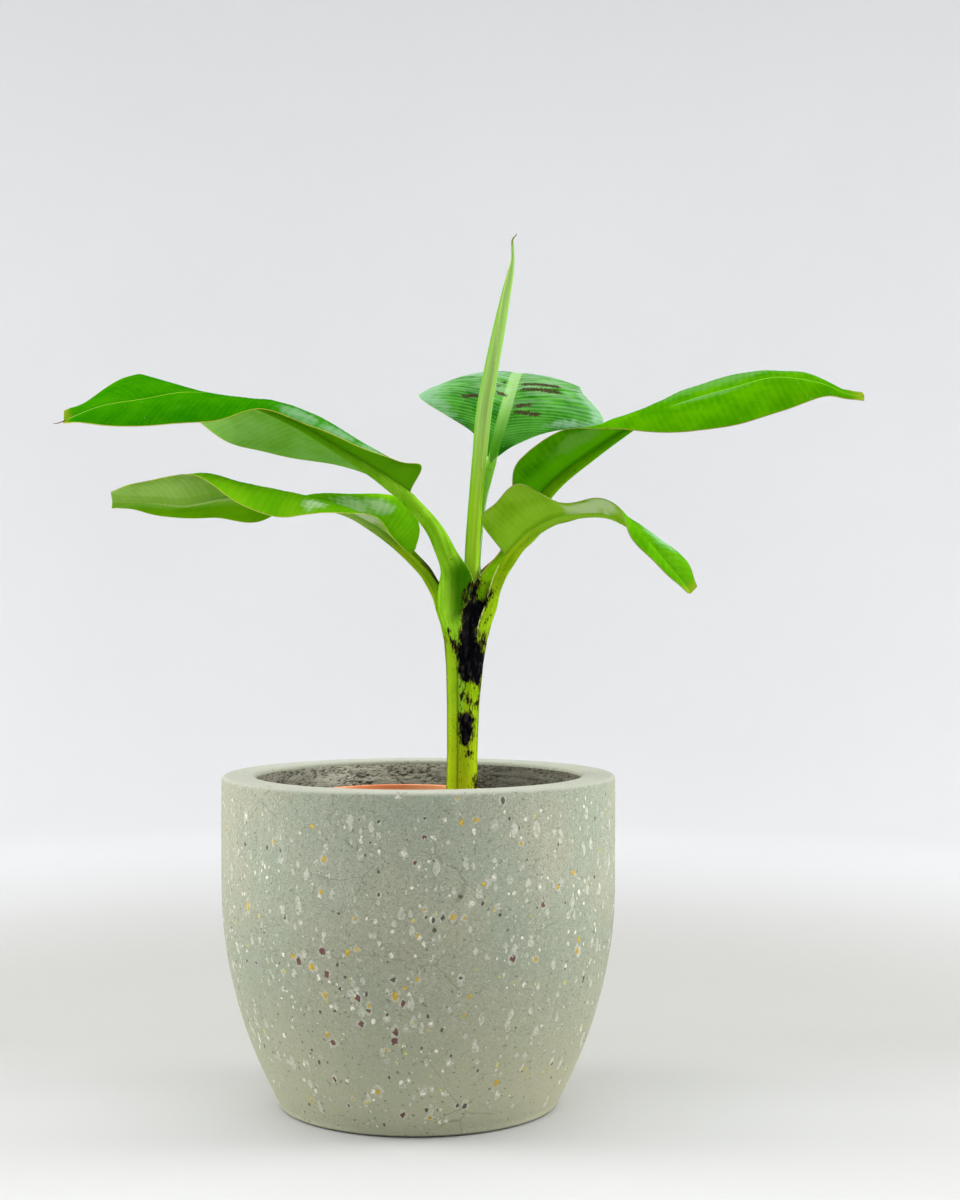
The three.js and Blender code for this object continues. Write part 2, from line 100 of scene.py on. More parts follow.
# Leaves. A stalk has its centre points above the fork and a radius at each of them and at the
# blade. facing is the side of the trunk that its sheath grows on, in degrees round from +x, and
# wraps says how far the sheath reaches round the trunk on its two sides at each height.
# A blade station is a point of the rib, the left and right edge points that its veins reach, and
# how far the left and right halves arch up. unroll is the height over which the sheath turns to a
# free stalk, opening how far round that stalk reaches, and thread the points of a dry tip.
# A place on a blade is its share of the way along and of the way out, under zero on the left half.
# Patches of painted sheen above and under the blade are each a place and its size along and
# across, stains are streaks from one place to another, a painted sheen pales the outer part, and
# dry_share is the share of the blade's cells without a drop of dew. Shades are dark and light, for
# the left half and the right; under the blade they are bright, a painted glow of light through it.
# rib is the midrib's shade and half-width, rib_foot its shade near the stalk, and groove the depth
# of the groove along it. contrast says how much the veins show above, keel_band how much the
# underside pales beside the rib in a painted glow, and tip_from where the yellow tip starts.
LEAVES = {
    "upper_left": {
        "stalk": [(37, -13, 454.8), (34, -14, 469), (31, -15, 489), (23, -16, 510), (12, -16, 530)],
        "radius": [10.5, 10.5, 10, 9, 7.5, 6.5],
        "stalk_shades": ((150, 204, 50), (112, 176, 16), (176, 200, 90), (120, 170, 30)),
        "facing": 245,
        "layer": 1,
        "wraps": [
            (270, 100, 90), (400, 95, 30), (425, 85, 14), (452, 70, 18), (468, 60, 42),
            (488, 56, 58),
        ],
        "unroll": (452, 506),
        "opening": 126,
        "veins": 64,
        "upper": ((34, 122, 0), (58, 140, 2)),
        "under": ((84, 150, 4), (96, 160, 12), (128, 186, 60), (152, 204, 100)),
        "rib": ((146, 202, 100), 1.3),
        "margin": (196, 198, 70),
        "painted_sheen": [(0.43, -0.85, 0.06, 0.22), (0.35, -0.9, 0.06, 0.22), (0.27, -0.92, 0.06, 0.2)],
        "thread": [(-321, -55, 620), (-325, -56, 619.5)],
        "stations": [
            ((-9, -16, 554), (-7, -18, 562), (-10, -12, 555), (0, 0)),
            ((-22, -17, 564), (3, -24, 584), (-33, 14, 570), (2, 3)),
            ((-42, -18, 579), (-18, -42, 587), (-64, 30, 585), (6, 5)),
            ((-70, -19, 597), (-50, -66, 598), (-100, 38, 592), (10, 6)),
            ((-102, -20, 617), (-92, -78, 615), (-143, 36, 600), (13, 6)),
            ((-137, -22, 634), (-136, -80, 630), (-182, 32, 611), (10, 5)),
            ((-173, -26, 647), (-179, -78, 620), (-216, 34, 636), (8, 4)),
            ((-210, -32, 650), (-222, -78, 617), (-252, 28, 669), (5, 3)),
            ((-247, -40, 643), (-260, -76, 615), (-272, 8, 668), (4, 2)),
            ((-283, -48, 636), (-295, -68, 619), (-303, -18, 643), (2, 2)),
            ((-316, -54, 622), (-317, -54, 620), (-317, -48, 632), (0, 0)),
        ],
    },
    "lower_left": {
        "stalk": [(22, 2, 454.8), (19, 1, 465), (12, 0, 478), (5, -2, 489)],
        "radius": [6.5, 6.5, 6, 6, 6],
        "stalk_shades": ((140, 178, 28), (106, 150, 10), (66, 48, 26), (110, 150, 20)),
        "facing": 180,
        "layer": 0,
        "wraps": [
            (270, 130, 72), (380, 110, 68), (411, 90, 66), (433, 80, 52), (460, 70, 57),
            (480, 60, 60),
        ],
        "unroll": (412, 482),
        "opening": 150,
        "veins": 54,
        # Bright upper shades, partly a painted glow of light through the blade.
        "upper": ((98, 178, 8), (128, 200, 18)),
        "painted_sheen_shade": (222, 246, 200),
        "under": ((120, 172, 44), (152, 194, 92), (92, 160, 4), (108, 174, 10)),
        "rib": ((170, 210, 90), 1.4),
        "margin": (206, 214, 90),
        "painted_sheen": [
            (0.24, 0.5, 0.06, 0.3), (0.3, 0.25, 0.07, 0.4), (0.34, -0.1, 0.05, 0.36),
            (0.39, -0.75, 0.05, 0.2),
        ],
        "under_painted_sheen": [(0.28, -0.45, 0.12, 0.5)],
        "stations": [
            ((-8, -4, 503), (-11, -9, 507), (-3, 0, 509), (0, 0)),
            ((-21, -6, 514), (-22, -22, 517), (0, 12, 530), (1, 3)),
            ((-39, -9, 527), (-37, -42, 536), (-16, 22, 557), (3, 4)),
            ((-63, -13, 541), (-67, -56, 540), (-60, 34, 561), (5, 5)),
            ((-92, -18, 549), (-98, -64, 538), (-105, 36, 559), (10, 5)),
            ((-121, -23, 553), (-126, -62, 536), (-151, 22, 535), (16, 4)),
            ((-151, -28, 555), (-160, -68, 549), (-190, 8, 538), (15, 3)),
            ((-179, -33, 553), (-194, -70, 572), (-221, -6, 537), (13, 2)),
            ((-209, -39, 547), (-217, -66, 572), (-246, -20, 541), (5, 2)),
            ((-239, -45, 549), (-250, -64, 566), (-264, -34, 545), (4, 2)),
            ((-273, -52, 550), (-274, -54, 559), (-274, -50, 544), (0, 0)),
        ],
    },
    "back": {
        "stalk": [(49.5, 19, 454.8), (50, 21, 476), (52, 23, 504), (54.5, 27, 529), (58, 34, 556)],
        "radius": [5.5, 5.5, 5.2, 5, 4.8, 4.5],
        "stalk_shades": ((142, 202, 72), (106, 178, 40), (206, 228, 176), (148, 212, 72)),
        "facing": 71,
        "layer": 2,
        "wraps": [(270, 120, 120), (420, 90, 90), (480, 70, 70)],
        "unroll": (440, 500),
        "opening": 120,
        "veins": 50,
        "upper": ((26, 102, 10), (88, 164, 58)),
        "under": ((110, 170, 40), (130, 186, 70), (130, 186, 70), (160, 204, 120)),
        "rib": ((146, 194, 104), 6.6),
        "painted_outer_sheen": 0.4,
        "rib_foot": (84, 154, 34),
        "contrast": 0.22,
        "dry_share": 0.2,
        "groove": 0.1,
        "margin": (178, 206, 150),
        "painted_sheen": [
            (0.44, -0.95, 0.3, 0.3), (0.62, -0.4, 0.08, 0.5), (0.64, 0.5, 0.06, 0.5),
            (0.42, 0.95, 0.16, 0.14), (0.3, 0.8, 0.06, 0.2),
        ],
        "painted_sheen_shade": (150, 190, 156),
        "stains": [
            (0.53, 0.13, 0.505, 0.66), (0.49, 0.12, 0.47, 0.6), (0.385, 0.08, 0.392, 0.24),
            (0.352, 0.1, 0.33, 0.4), (0.55, -0.08, 0.49, -0.16), (0.45, -0.04, 0.45, -0.14),
            (0.37, -0.5, 0.392, -0.34), (0.68, -0.5, 0.69, -0.16), (0.74, 0.2, 0.73, 0.5),
        ],
        "stations": [
            ((67, 42, 591), (65, 41, 594), (69, 42, 594), (0, 0)),
            ((70, 47, 605), (51, 45, 618), (94, 56, 611), (2, 2)),
            ((75, 57, 623), (24, 56, 637), (129, 76, 624), (6, 6)),
            ((81, 76, 645), (-2, 80, 656), (176, 104, 633), (9, 8)),
            ((87, 106, 666), (3, 124, 667), (159, 140, 666), (9, 5)),
            ((92, 146, 684), (18, 172, 677), (153, 172, 676), (8, 5)),
            ((96, 192, 691), (40, 218, 678), (135, 222, 672), (7, 5)),
            ((99, 236, 686), (67, 256, 671), (124, 260, 667), (5, 4)),
            ((101, 278, 665), (97, 279, 662), (106, 279, 662), (0, 0)),
        ],
    },
    "upper_right": {
        "stalk": [(62, 11, 454.8), (65, 11, 471), (71, 15, 492), (81, 18, 510)],
        "radius": [6.5, 6.5, 6.5, 6.5, 6.5],
        "stalk_shades": ((122, 170, 14), (92, 146, 2), (176, 150, 84), (120, 160, 30)),
        "facing": 27,
        "layer": 2,
        "wraps": [(270, 120, 110), (420, 110, 90), (480, 104, 60)],
        "unroll": (468, 506),
        "opening": 120,
        "veins": 68,
        "upper": ((62, 138, 0), (88, 160, 2)),
        "painted_sheen": [(0.62, -0.6, 0.2, 0.5), (0.56, 0.08, 0.14, 0.12)],
        "painted_sheen_shade": (104, 158, 84),
        "dry_share": 0.55,
        "keel_band": 0.8,
        "under_painted_sheen": [(0.29, 0.5, 0.08, 0.24)],
        "under_painted_sheen_shade": (112, 172, 58),
        "tip_from": 0.915,
        "under": ((50, 122, 0), (84, 158, 2), (54, 128, 0), (88, 162, 4)),
        "rib": ((116, 184, 44), 1.2),
        "groove": 0.35,
        "margin": (170, 160, 70),
        "stations": [
            ((93, 20, 526), (93, 26, 528), (90, 16, 532), (0, 0)),
            ((108, 21, 547), (100, 40, 556), (86, 2, 565), (2, 2)),
            ((131, 21, 573), (117, 50, 589), (93, -12, 591), (4, 4)),
            ((159, 20, 595), (145, 52, 613), (129, -22, 615), (5, 5)),
            ((188, 18, 616), (178, 54, 631), (168, -36, 617), (5, 9)),
            ((216, 15, 634), (216, 60, 643), (208, -34, 614), (5, 9)),
            ((251, 9, 647), (251, 64, 661), (248, -38, 614), (4, 5)),
            ((291, 0, 658), (292, 60, 674), (288, -44, 620), (4, 4)),
            ((328, -9, 666), (326, 44, 677), (326, -44, 631), (3, 4)),
            ((365, -19, 660), (361, 12, 671), (365, -36, 645), (2, 2)),
            ((388, -25, 650), (386, -14, 655), (388, -33, 644), (1, 1)),
            ((404.6, -30, 646.5), (404, -25, 650.5), (403.6, -34, 642), (0, 0)),
        ],
    },
    "lower_right": {
        "stalk": [(65, -8, 454.8), (66.5, -9, 466), (71, -12, 478), (76, -16, 488)],
        "radius": [8, 7.5, 7, 6.5, 6.2],
        "stalk_shades": ((156, 192, 24), (118, 164, 8), (222, 234, 140), (140, 172, 30)),
        "facing": 336,
        "layer": 0.5,
        "wraps": [
            (270, 90, 130), (400, 56, 110), (420, 38, 100), (433, 39, 90), (445, 36, 80), (457, 31, 70),
            (468, 23, 62), (480, 20, 58),
        ],
        "unroll": (440, 486),
        "opening": 98,
        "veins": 42,
        "upper": ((70, 142, 2), (96, 166, 14)),
        "under": ((114, 170, 10), (142, 192, 44), (114, 170, 10), (142, 192, 44)),
        "keel_band": 0.4,
        "rib": ((130, 180, 40), 1.3),
        "margin": (150, 140, 84),
        "painted_sheen": [(0.79, -0.6, 0.1, 0.4)],
        "painted_sheen_shade": (150, 204, 150),
        "under_painted_sheen": [(0.5, 0.3, 0.1, 0.5), (0.58, 0.55, 0.08, 0.6)],
        "under_painted_sheen_shade": (206, 228, 172),
        "groove": 0.2,
        "stations": [
            ((82, -20, 497), (86, -17, 500), (81, -23, 501), (0, 0)),
            ((91, -23, 509), (99, -4, 510), (57.5, -34, 533), (1, 1)),
            ((105, -29, 523), (119, 6, 528), (71, -45, 550), (3, 2)),
            ((123, -37, 533), (147, 8, 537), (92, -58, 566), (4, 4)),
            ((144, -46, 538), (171, 0, 541), (124, -80, 548), (4, 3)),
            ((165, -56, 538), (188, -14, 538), (158, -92, 551), (4, 3)),
            ((181, -63, 532), (203, -28, 527), (176, -100, 544), (4, 3)),
            ((198, -71, 519), (220, -44, 514), (189, -102, 515), (4, 6)),
            ((218, -81, 497), (239, -60, 499), (213, -104, 490), (3, 3)),
            ((241, -92, 468), (247, -88, 474), (238, -94, 468), (0, 0)),
        ],
    },
}


# Curves and surfaces.


def unit(vectors):
    lengths = np.linalg.norm(vectors, axis=-1, keepdims=True)
    return vectors / np.maximum(lengths, 1e-9)


def smoothstep(low, high, values):
    share = np.clip((np.asarray(values, float) - low) / (high - low), 0, 1)
    return share * share * (3 - 2 * share)


def smooth_curve(points, shares):
    """A smooth curve through points, read at shares of its run of points."""
    p = np.asarray(points, float)
    run = np.asarray(shares, float) * (len(p) - 1)
    first = np.clip(np.floor(run).astype(int), 0, len(p) - 2)
    f = (run - first)[:, None]
    padded = np.vstack([2 * p[0] - p[1], p, 2 * p[-1] - p[-2]])
    a, b, c, d = (padded[first + k] for k in range(4))
    into, out = 0.5 * (c - a), 0.5 * (d - b)
    return b + into * f + (3 * (c - b) - 2 * into - out) * f**2 + (2 * (b - c) + into + out) * f**3


def run_across(points):
    """How far along its row each point of a grid lies."""
    steps = np.linalg.norm(np.diff(points, axis=1), axis=2)
    return np.concatenate([np.zeros((len(points), 1)), np.cumsum(steps, axis=1)], axis=1)


def tangents(points, shares):
    step = 0.002
    ahead = smooth_curve(points, np.minimum(shares + step, 1))
    behind = smooth_curve(points, np.maximum(shares - step, 0))
    return unit(ahead - behind)


def angles_round(count):
    """Evenly spaced angles of a full turn."""
    return np.linspace(0, 2 * math.pi, count, endpoint=False)


def grid_faces(rows, columns, start=0, closed=False, flip=False):
    """Quads of a grid of points, rows long and columns wide. closed joins each row's ends."""
    ids = start + np.arange(rows * columns).reshape(rows, columns)
    after = np.roll(ids, -1, axis=1)
    quads = np.stack([ids[:-1], after[:-1], after[1:], ids[1:]], -1)
    if not closed:
        quads = quads[:, :-1]
    quads = quads.reshape(-1, 4)
    return quads[:, ::-1] if flip else quads


def shell_faces(rows, columns):
    """Faces of a closed sheet: a top grid, a bottom grid after it, and the rim between them."""
    ids = np.arange(rows * columns).reshape(rows, columns)
    loop = np.concatenate([ids[0, :-1], ids[:-1, -1], ids[-1, :0:-1], ids[:0:-1, 0]])
    after = np.roll(loop, -1)
    rim = np.stack([after, loop, loop + ids.size, after + ids.size], -1)
    top = grid_faces(rows, columns)
    bottom = grid_faces(rows, columns, ids.size, flip=True)
    return top, bottom, rim


def add_mesh(name, points, faces, materials, values, smooth=True):
    """Adds a mesh to the scene. Its values are spread over its points, for its materials to read."""
    points = np.asarray(points)
    mesh = bpy.data.meshes.new(name)
    corners = [list(map(int, face)) for face in faces]
    mesh.from_pydata((points.reshape(-1, 3) * MM).tolist(), [], corners)
    for material in materials:
        mesh.materials.append(material)
    mesh.polygons.foreach_set("use_smooth", np.full(len(mesh.polygons), smooth))
    for key, numbers in values.items():
        layer = mesh.attributes.new(key, "FLOAT", "POINT")
        spread = np.broadcast_to(numbers, points.shape[:-1]).astype(np.float32)
        layer.data.foreach_set("value", spread.ravel())
    mesh.update()
    added = bpy.data.objects.new(name, mesh)
    bpy.context.scene.collection.objects.link(added)
    return added


def capped_faces(rows, sides):
    """Faces of a closed tube of rows, with a flat cap at each end."""
    last = (rows - 1) * sides
    faces = grid_faces(rows, sides, closed=True).tolist()
    return faces + [list(range(sides))[::-1], list(range(last, last + sides))]


def make_piece(
    name, points, faces, materials, replaced=(), face_slots=(), values=None, smooth=True
):
    """Adds a mesh that rides with the plant. face_slots says which material each face takes."""
    piece = add_mesh(name, points, faces, materials, values or {}, smooth)
    if len(face_slots):
        piece.data.polygons.foreach_set("material_index", np.asarray(face_slots, int))
    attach(piece, "root")
    if replaced:
        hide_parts(*replaced)


# Materials.


def colour(red, green, blue):
    """A colour given as it shows on a screen, 0 to 255."""
    shown = np.array([red, green, blue]) / 255
    light = np.where(shown <= 0.04045, shown / 12.92, ((shown + 0.055) / 1.055) ** 2.4)
    return (*light, 1.0)


class Look:
    """One material and short calls that add its nodes."""

    def __init__(self, name, roughness, specular=0.5):
        self.material = bpy.data.materials.new(name)
        self.material.use_nodes = True
        self.tree = self.material.node_tree
        self.shader = self.tree.nodes["Principled BSDF"]
        self.put(self.shader.inputs["Roughness"], roughness)
        self.put(self.shader.inputs["Specular IOR Level"], specular)

    def put(self, socket, value):
        if isinstance(value, bpy.types.NodeSocket):
            self.tree.links.new(value, socket)
        else:
            socket.default_value = value

    def add(self, kind, inputs, output=0, **settings):
        """Adds a node of a kind. Its inputs and output go by name or number."""
        node = self.tree.nodes.new("ShaderNode" + kind)
        for key, value in settings.items():
            setattr(node, key, value)
        for key, value in inputs.items():
            self.put(node.inputs[key], value)
        return node.outputs[output]

    def value(self, name):
        return self.add("Attribute", {}, "Fac", attribute_name=name)

    def place(self):
        return self.add("TexCoord", {}, "Object")

    def stretched(self, scale):
        return self.add("Mapping", {"Vector": self.place(), "Scale": scale})

    def unrolled(self, across, along, squeeze):
        """Place on a rolled-out surface. A low squeeze draws patches out along the second value."""
        x = self.times(self.value(across), MM)
        y = self.times(self.value(along), MM * squeeze)
        return self.add("CombineXYZ", {0: x, 1: y})

    def bent(self, size, distance):
        """Place, pushed about by noise whose patches are size millimetres across."""
        push = self.add("TexNoise", {"Vector": self.place(), "Scale": 1 / (size * MM)}, "Color")
        inputs = {0: push, 1: (distance * MM,) * 3, 2: self.place()}
        return self.add("VectorMath", inputs, operation="MULTIPLY_ADD")

    def maths(self, kind, a, b=0.0):
        return self.add("Math", {0: a, 1: b}, operation=kind)

    def times(self, a, b):
        return self.maths("MULTIPLY", a, b)

    def plus(self, a, b):
        return self.maths("ADD", a, b)

    def ramp(self, value, low, high):
        """0 below low and 1 above high, smooth between. It falls where high is under low."""
        inputs = {"Value": value, "From Min": min(low, high), "From Max": max(low, high)}
        inputs.update({"To Min": float(low > high), "To Max": float(low < high)})
        return self.add("MapRange", inputs, interpolation_type="SMOOTHSTEP")

    def swing(self, value, size):
        """A value that runs from 0 to 1, moved to run about 0 and spread to a size."""
        return self.times(self.maths("SUBTRACT", value, 0.5), size)

    def wave(self, value, times):
        """0 to 1 and back, a number of times for each whole step of value."""
        turned = self.maths("SINE", self.times(value, 2 * math.pi * times))
        return self.plus(self.times(turned, 0.5), 0.5)

    def noise(self, size, detail=3.0, vector=None, roughness=0.55):
        """Cloudy noise whose patches are about size millimetres across."""
        inputs = {"Vector": vector if vector is not None else self.place()}
        inputs.update({"Scale": 1 / (size * MM), "Detail": detail, "Roughness": roughness})
        return self.add("TexNoise", inputs, "Fac")

    def cells(self, size, vector=None, feature="F1"):
        """Outputs of a field of cells about size millimetres across."""
        inputs = {"Vector": vector if vector is not None else self.place(), "Scale": 1 / (size * MM)}
        return self.add("TexVoronoi", inputs, feature=feature).node.outputs

    def mix(self, share, a, b):
        return self.add("Mix", {0: share, 6: a, 7: b}, 2, data_type="RGBA")

    def blend(self, value, low, high, shade, other_shade):
        """One shade where value is below low, turning to the other above high."""
        return self.mix(self.ramp(value, low, high), colour(*shade), colour(*other_shade))

    def layered(self, tone, layers):
        """Lays shades over a tone in turn. A layer is its share, its full strength and its shade."""
        for share, strength, shade in layers:
            part = share if strength == 1 else self.times(share, strength)
            tone = self.mix(part, tone, colour(*shade))
        return tone

    def paint(self, tone, layers=()):
        self.put(self.shader.inputs["Base Color"], self.layered(tone, layers))

    def relief(self, height, depth, strength=1.0):
        inputs = {"Distance": depth * MM, "Strength": strength, "Height": height}
        self.put(self.shader.inputs["Normal"], self.add("Bump", inputs))

    def rough(self, value, low, high):
        inputs = {"Value": value, "To Min": low, "To Max": high}
        self.put(self.shader.inputs["Roughness"], self.add("MapRange", inputs))


# The planter.


def wall_radius(z, depth=0.0):
    """Radius of the planter's wall at heights, a depth inside its outer face."""
    drop = np.maximum(PLANTER_CURVE_TOP - np.asarray(z, float), 0)
    arc = PLANTER_CURVE_RADIUS - depth
    return PLANTER_RADIUS - depth - arc + np.sqrt(arc * arc - drop * drop)


def arc_points(r, z, radius, start, end, steps):
    angles = np.radians(np.linspace(start, end, steps + 1))
    return np.stack([r + radius * np.cos(angles), z + radius * np.sin(angles)], -1)


def wall_points(start, end, depth, steps):
    z = np.linspace(start, end, steps + 1)
    return np.stack([wall_radius(z, depth), z], -1)


def turned_points(outline, sides, centre_x=0.0):
    """A grid of points, with a row for each point of an outline that is turned about the z axis."""
    angles = angles_round(sides)
    r, z = outline[:, :1], outline[:, 1:]
    x = centre_x + r * np.cos(angles)
    y = r * np.sin(angles)
    return np.stack([x, y, np.broadcast_to(z, x.shape)], -1)


def concrete_look(name, lift=0.0):
    """Cast concrete. lift says how far its tone is raised, as over a chip just under the face."""
    look = Look(name, 0.72, 0.3)
    height = look.value("height")
    grain = look.noise(1.5, 4, roughness=0.8)
    pits = look.ramp(look.noise(3.4, 3), 0.36, 0.31)
    streaks = look.ramp(look.noise(9, 3, look.stretched((1, 1, 0.14))), 0.54, 0.7)
    clouds = look.ramp(look.noise(7, 3), 0.55, 0.72)
    mottle = look.ramp(look.noise(3.6, 4, roughness=0.7), 0.46, 0.6)
    flecks = look.ramp(look.noise(2.1, 2), 0.655, 0.7)
    middle = look.times(look.ramp(height, 235, 150), look.ramp(height, 15, 90))
    lifted = look.times(look.ramp(look.noise(4.5, 3), 0.3, 0.62), lift)
    lines = look.cells(58, look.bent(26, 9), "DISTANCE_TO_EDGE")["Distance"]
    cracks = look.times(look.ramp(lines, 0.011, 0.004), look.ramp(look.noise(48, 2), 0.54, 0.6))
    broad = look.blend(look.noise(110, 3), 0.36, 0.64, (158, 167, 148), (171, 171, 149))
    look.paint(broad, [
        (streaks, 0.4, (184, 187, 168)),
        (clouds, 0.35, (186, 188, 172)),
        (mottle, 0.4, (140, 144, 124)),
        (look.ramp(grain, 0.5, 0.62), 0.85, (130, 135, 113)),
        (flecks, 0.75, (204, 206, 192)),
        # Paler towards the foot: painted light thrown up from the floor.
        (look.ramp(height, 170, 15), 0.6, (180, 179, 148)),
        (middle, 0.2, (122, 130, 106)),
        (lifted, 1, (212, 213, 197)),
        # Lighter on the rim's top: painted light falling from above.
        (look.ramp(height, 299, 301.6), 0.8, (186, 187, 174)),
        (pits, 0.7, (112, 114, 98)),
        (cracks, 0.42, (112, 116, 96)),
        # Dark at the very bottom: painted shadow where the planter meets the floor.
        (look.ramp(height, 2.6, 0.8), 1, (58, 60, 50)),
    ])
    look.relief(look.maths("SUBTRACT", look.times(grain, 0.6), pits), 0.3, 0.9)
    return look.material


def rough_wall_look():
    """The planter's inside: wrinkled as cast, with painted light and shade on the wrinkles and painted
    shade towards both sides.
    """
    look = Look("planter_inner_wall", 0.95, 0.1)
    wrinkles = look.noise(2.2, 5, look.stretched((0.45, 0.45, 1.2)), 0.7)
    # Ridges are painted lighter and hollows darker: painted light and shade on the wrinkles.
    tone = look.plus(wrinkles, look.times(look.value("relief"), 0.1))
    # Darker towards both sides: painted shade.
    across = look.value("across")
    left = look.times(look.ramp(across, -70, -135), 0.8)
    painted_side_shade = look.maths("MAXIMUM", look.ramp(across, 10, 75), left)
    look.paint(look.blend(tone, 0.36, 0.56, (78, 78, 66), (210, 210, 192)), [
        (look.ramp(look.noise(26, 3), 0.45, 0.62), 0.35, (150, 148, 130)),
        (painted_side_shade, 0.8, (70, 68, 58)),
    ])
    look.relief(wrinkles, 1.2)
    return look.material


def wall_swell(x, y, z):
    """How far the cast wall swells out at a place."""
    return 0.35 * noise.noise(Vector((x / 60, y / 60, z / 60)))


PLANTER_SIDES = 480
INNER_WALL_ROWS = 36
INNER_WALL_RELIEF = 1.3


def make_planter():
    """The planter as one turned shell, smooth outside and rough inside."""
    foot_radius = float(wall_radius(PLANTER_FOOT_EDGE)) - PLANTER_FOOT_EDGE
    foot_step = foot_radius - FOOT_STEP
    inner_radius = PLANTER_RADIUS - PLANTER_WALL
    edge = PLANTER_RIM_EDGE
    rim_z = PLANTER_HEIGHT - edge
    foot = [[0.5, 0], [60, 0], [foot_step - 0.4, 0], [foot_step, FOOT_RECESS]]
    outside = np.vstack([
        foot,
        arc_points(foot_radius, PLANTER_FOOT_EDGE, PLANTER_FOOT_EDGE, -50, 0, 5),
        wall_points(PLANTER_FOOT_EDGE, PLANTER_CURVE_TOP, 0, 60)[1:],
        wall_points(PLANTER_CURVE_TOP, rim_z, 0, 16)[1:-1],
        arc_points(PLANTER_RADIUS - edge, rim_z, edge, 0, 90, 6),
        [[PLANTER_RADIUS - 0.5 * PLANTER_WALL, PLANTER_HEIGHT]],
        arc_points(inner_radius + edge, rim_z, edge, 90, 180, 6),
    ])
    inside = np.vstack([
        wall_points(rim_z - 1, BED_TOP - 8, PLANTER_WALL, INNER_WALL_ROWS),
        wall_points(BED_TOP - 14, PLANTER_FLOOR, PLANTER_WALL, 12),
        [[60, PLANTER_FLOOR], [0.5, PLANTER_FLOOR]],
    ])
    outline = np.vstack([outside, inside])
    points = turned_points(outline, PLANTER_SIDES)
    outward = points.copy()
    outward[..., 2] = 0
    outward = unit(outward)
    relief = np.zeros(points.shape[:2])
    first = len(outside)
    for i in range(first, first + INNER_WALL_ROWS + 1):
        fade = min((i - first) / 4, 1)
        for j in range(PLANTER_SIDES):
            x, y, z = points[i, j]
            drift = 1.6 * noise.noise(Vector((x / 30, y / 30, 5)))
            ridge = noise.noise(Vector((x / 26, y / 26, z / 3.2 + drift)))
            grit = noise.noise(Vector((x / 5, y / 5, z / 1.7)))
            relief[i, j] = (1.3 * ridge + 0.5 * grit) * fade
    points = points - outward * relief[..., None] * INNER_WALL_RELIEF
    for i in range(len(foot) + 5, first):
        for j in range(PLANTER_SIDES):
            points[i, j] += outward[i, j] * wall_swell(*points[i, j])
    rows = len(outline)
    slots = np.repeat(np.arange(rows - 1) >= first - 1, PLANTER_SIDES).tolist() + [0, 1]
    values = {"height": outline[:, 1:], "relief": relief, "across": points[..., 0]}
    looks = [concrete_look("planter_concrete"), rough_wall_look()]
    faces = capped_faces(rows, PLANTER_SIDES)
    make_piece("planter_shell", points, faces, looks, ["planter"], slots, values)


# Chips of stone in the concrete: how each kind looks, its share of the loose chips and its widths.
CHIP_KINDS = {
    "cream": (colour(232, 232, 218), 0.38, (1.4, 5.2)),
    "pale_grey": (colour(196, 198, 186), 0.22, (2.2, 6.5)),
    "ochre": (colour(208, 178, 76), 0.05, (3.0, 6.8)),
    "maroon": (colour(122, 84, 84), 0.025, (3.0, 6.0)),
    "dark_grey": (colour(92, 95, 80), 0.2, (1.0, 4.2)),
    "straw": (colour(206, 200, 128), 0.09, (2.0, 5.6)),
}
# Chips that show on the near side of the planter, as the pixels of the photograph they lie at.
CHIPS_AT_PIXELS = {
    "ochre": [
        (458, 797), (476, 820), (461, 822), (312, 826), (274, 842), (324, 859), (521, 843),
        (574, 873), (558, 887), (484, 885), (321, 892), (248, 906), (425, 910), (453, 917),
        (464, 918), (355, 919), (418, 936), (579, 940), (577, 951), (357, 949), (348, 953),
        (293, 956), (536, 960), (312, 967), (417, 980), (405, 988), (396, 996), (325, 996),
        (470, 997), (369, 1006), (464, 1016), (328, 1035), (387, 1050), (497, 1083), (378, 1092),
        (430, 1118),
    ],
    "maroon": [
        (424, 837), (415, 863), (543, 905), (322, 952), (299, 961), (513, 958), (327, 974),
        (358, 999), (403, 1004), (369, 1011), (361, 1024), (396, 1032), (394, 1041), (333, 1043),
        (335, 1080), (403, 1115),
    ],
    "dark_grey": [
        (379, 822), (503, 800), (340, 989), (393, 980), (387, 1015), (428, 1017), (461, 978),
        (442, 1030), (457, 1106), (465, 1106), (349, 1106), (426, 917), (433, 920), (443, 918),
        (379, 895), (461, 897),
    ],
    "cream": [
        (398, 792), (246, 817), (433, 837), (301, 923), (472, 904), (391, 956), (431, 1024),
        (449, 1063), (401, 1083), (423, 1093), (443, 1094), (497, 1093), (540, 887), (404, 854),
        (419, 867), (494, 877), (412, 888), (379, 852),
    ],
}
LOOSE_CHIPS = 2050
CHIP_CLUSTERS = 90
GHOST_COUNT = 460
COLOURED_CHIPS = ("ochre", "maroon")
# How far a patch of each kind stands out of the wall.
CHIP_LIFT, HALO_LIFT, GHOST_LIFT = 0.12, 0.05, 0.06
LOWEST_CHIP, HIGHEST_CHIP = 10, 290
# How far a cluster spreads round the planter, in radians, and up it.
CLUSTER_TURN, CLUSTER_RISE = 0.06, 14
# The side that the camera sees, as angles round from +x in radians.
NEAR_SIDE = (-2.9, -0.25)
# Shares of the chips that have a pale halo, and of the loose ones that lie in clusters.
PLACED_HALO_SHARE, LOOSE_HALO_SHARE, CLUSTERED_SHARE = 0.7, 0.12, 0.4

# The camera, and the photograph's scale and centre in pixels.
CAMERA_X, CAMERA_Y, CAMERA_Z = 56.3, -1843, 467
PIXELS_PER_SLOPE = 2000
LEVEL_PIXEL_X, LEVEL_PIXEL_Y = 480, 594.4
PHOTO_HEIGHT = 1200
SENSOR_WIDTH = 36
# How far below level the camera looks, in degrees.
CAMERA_DROP = 0.16


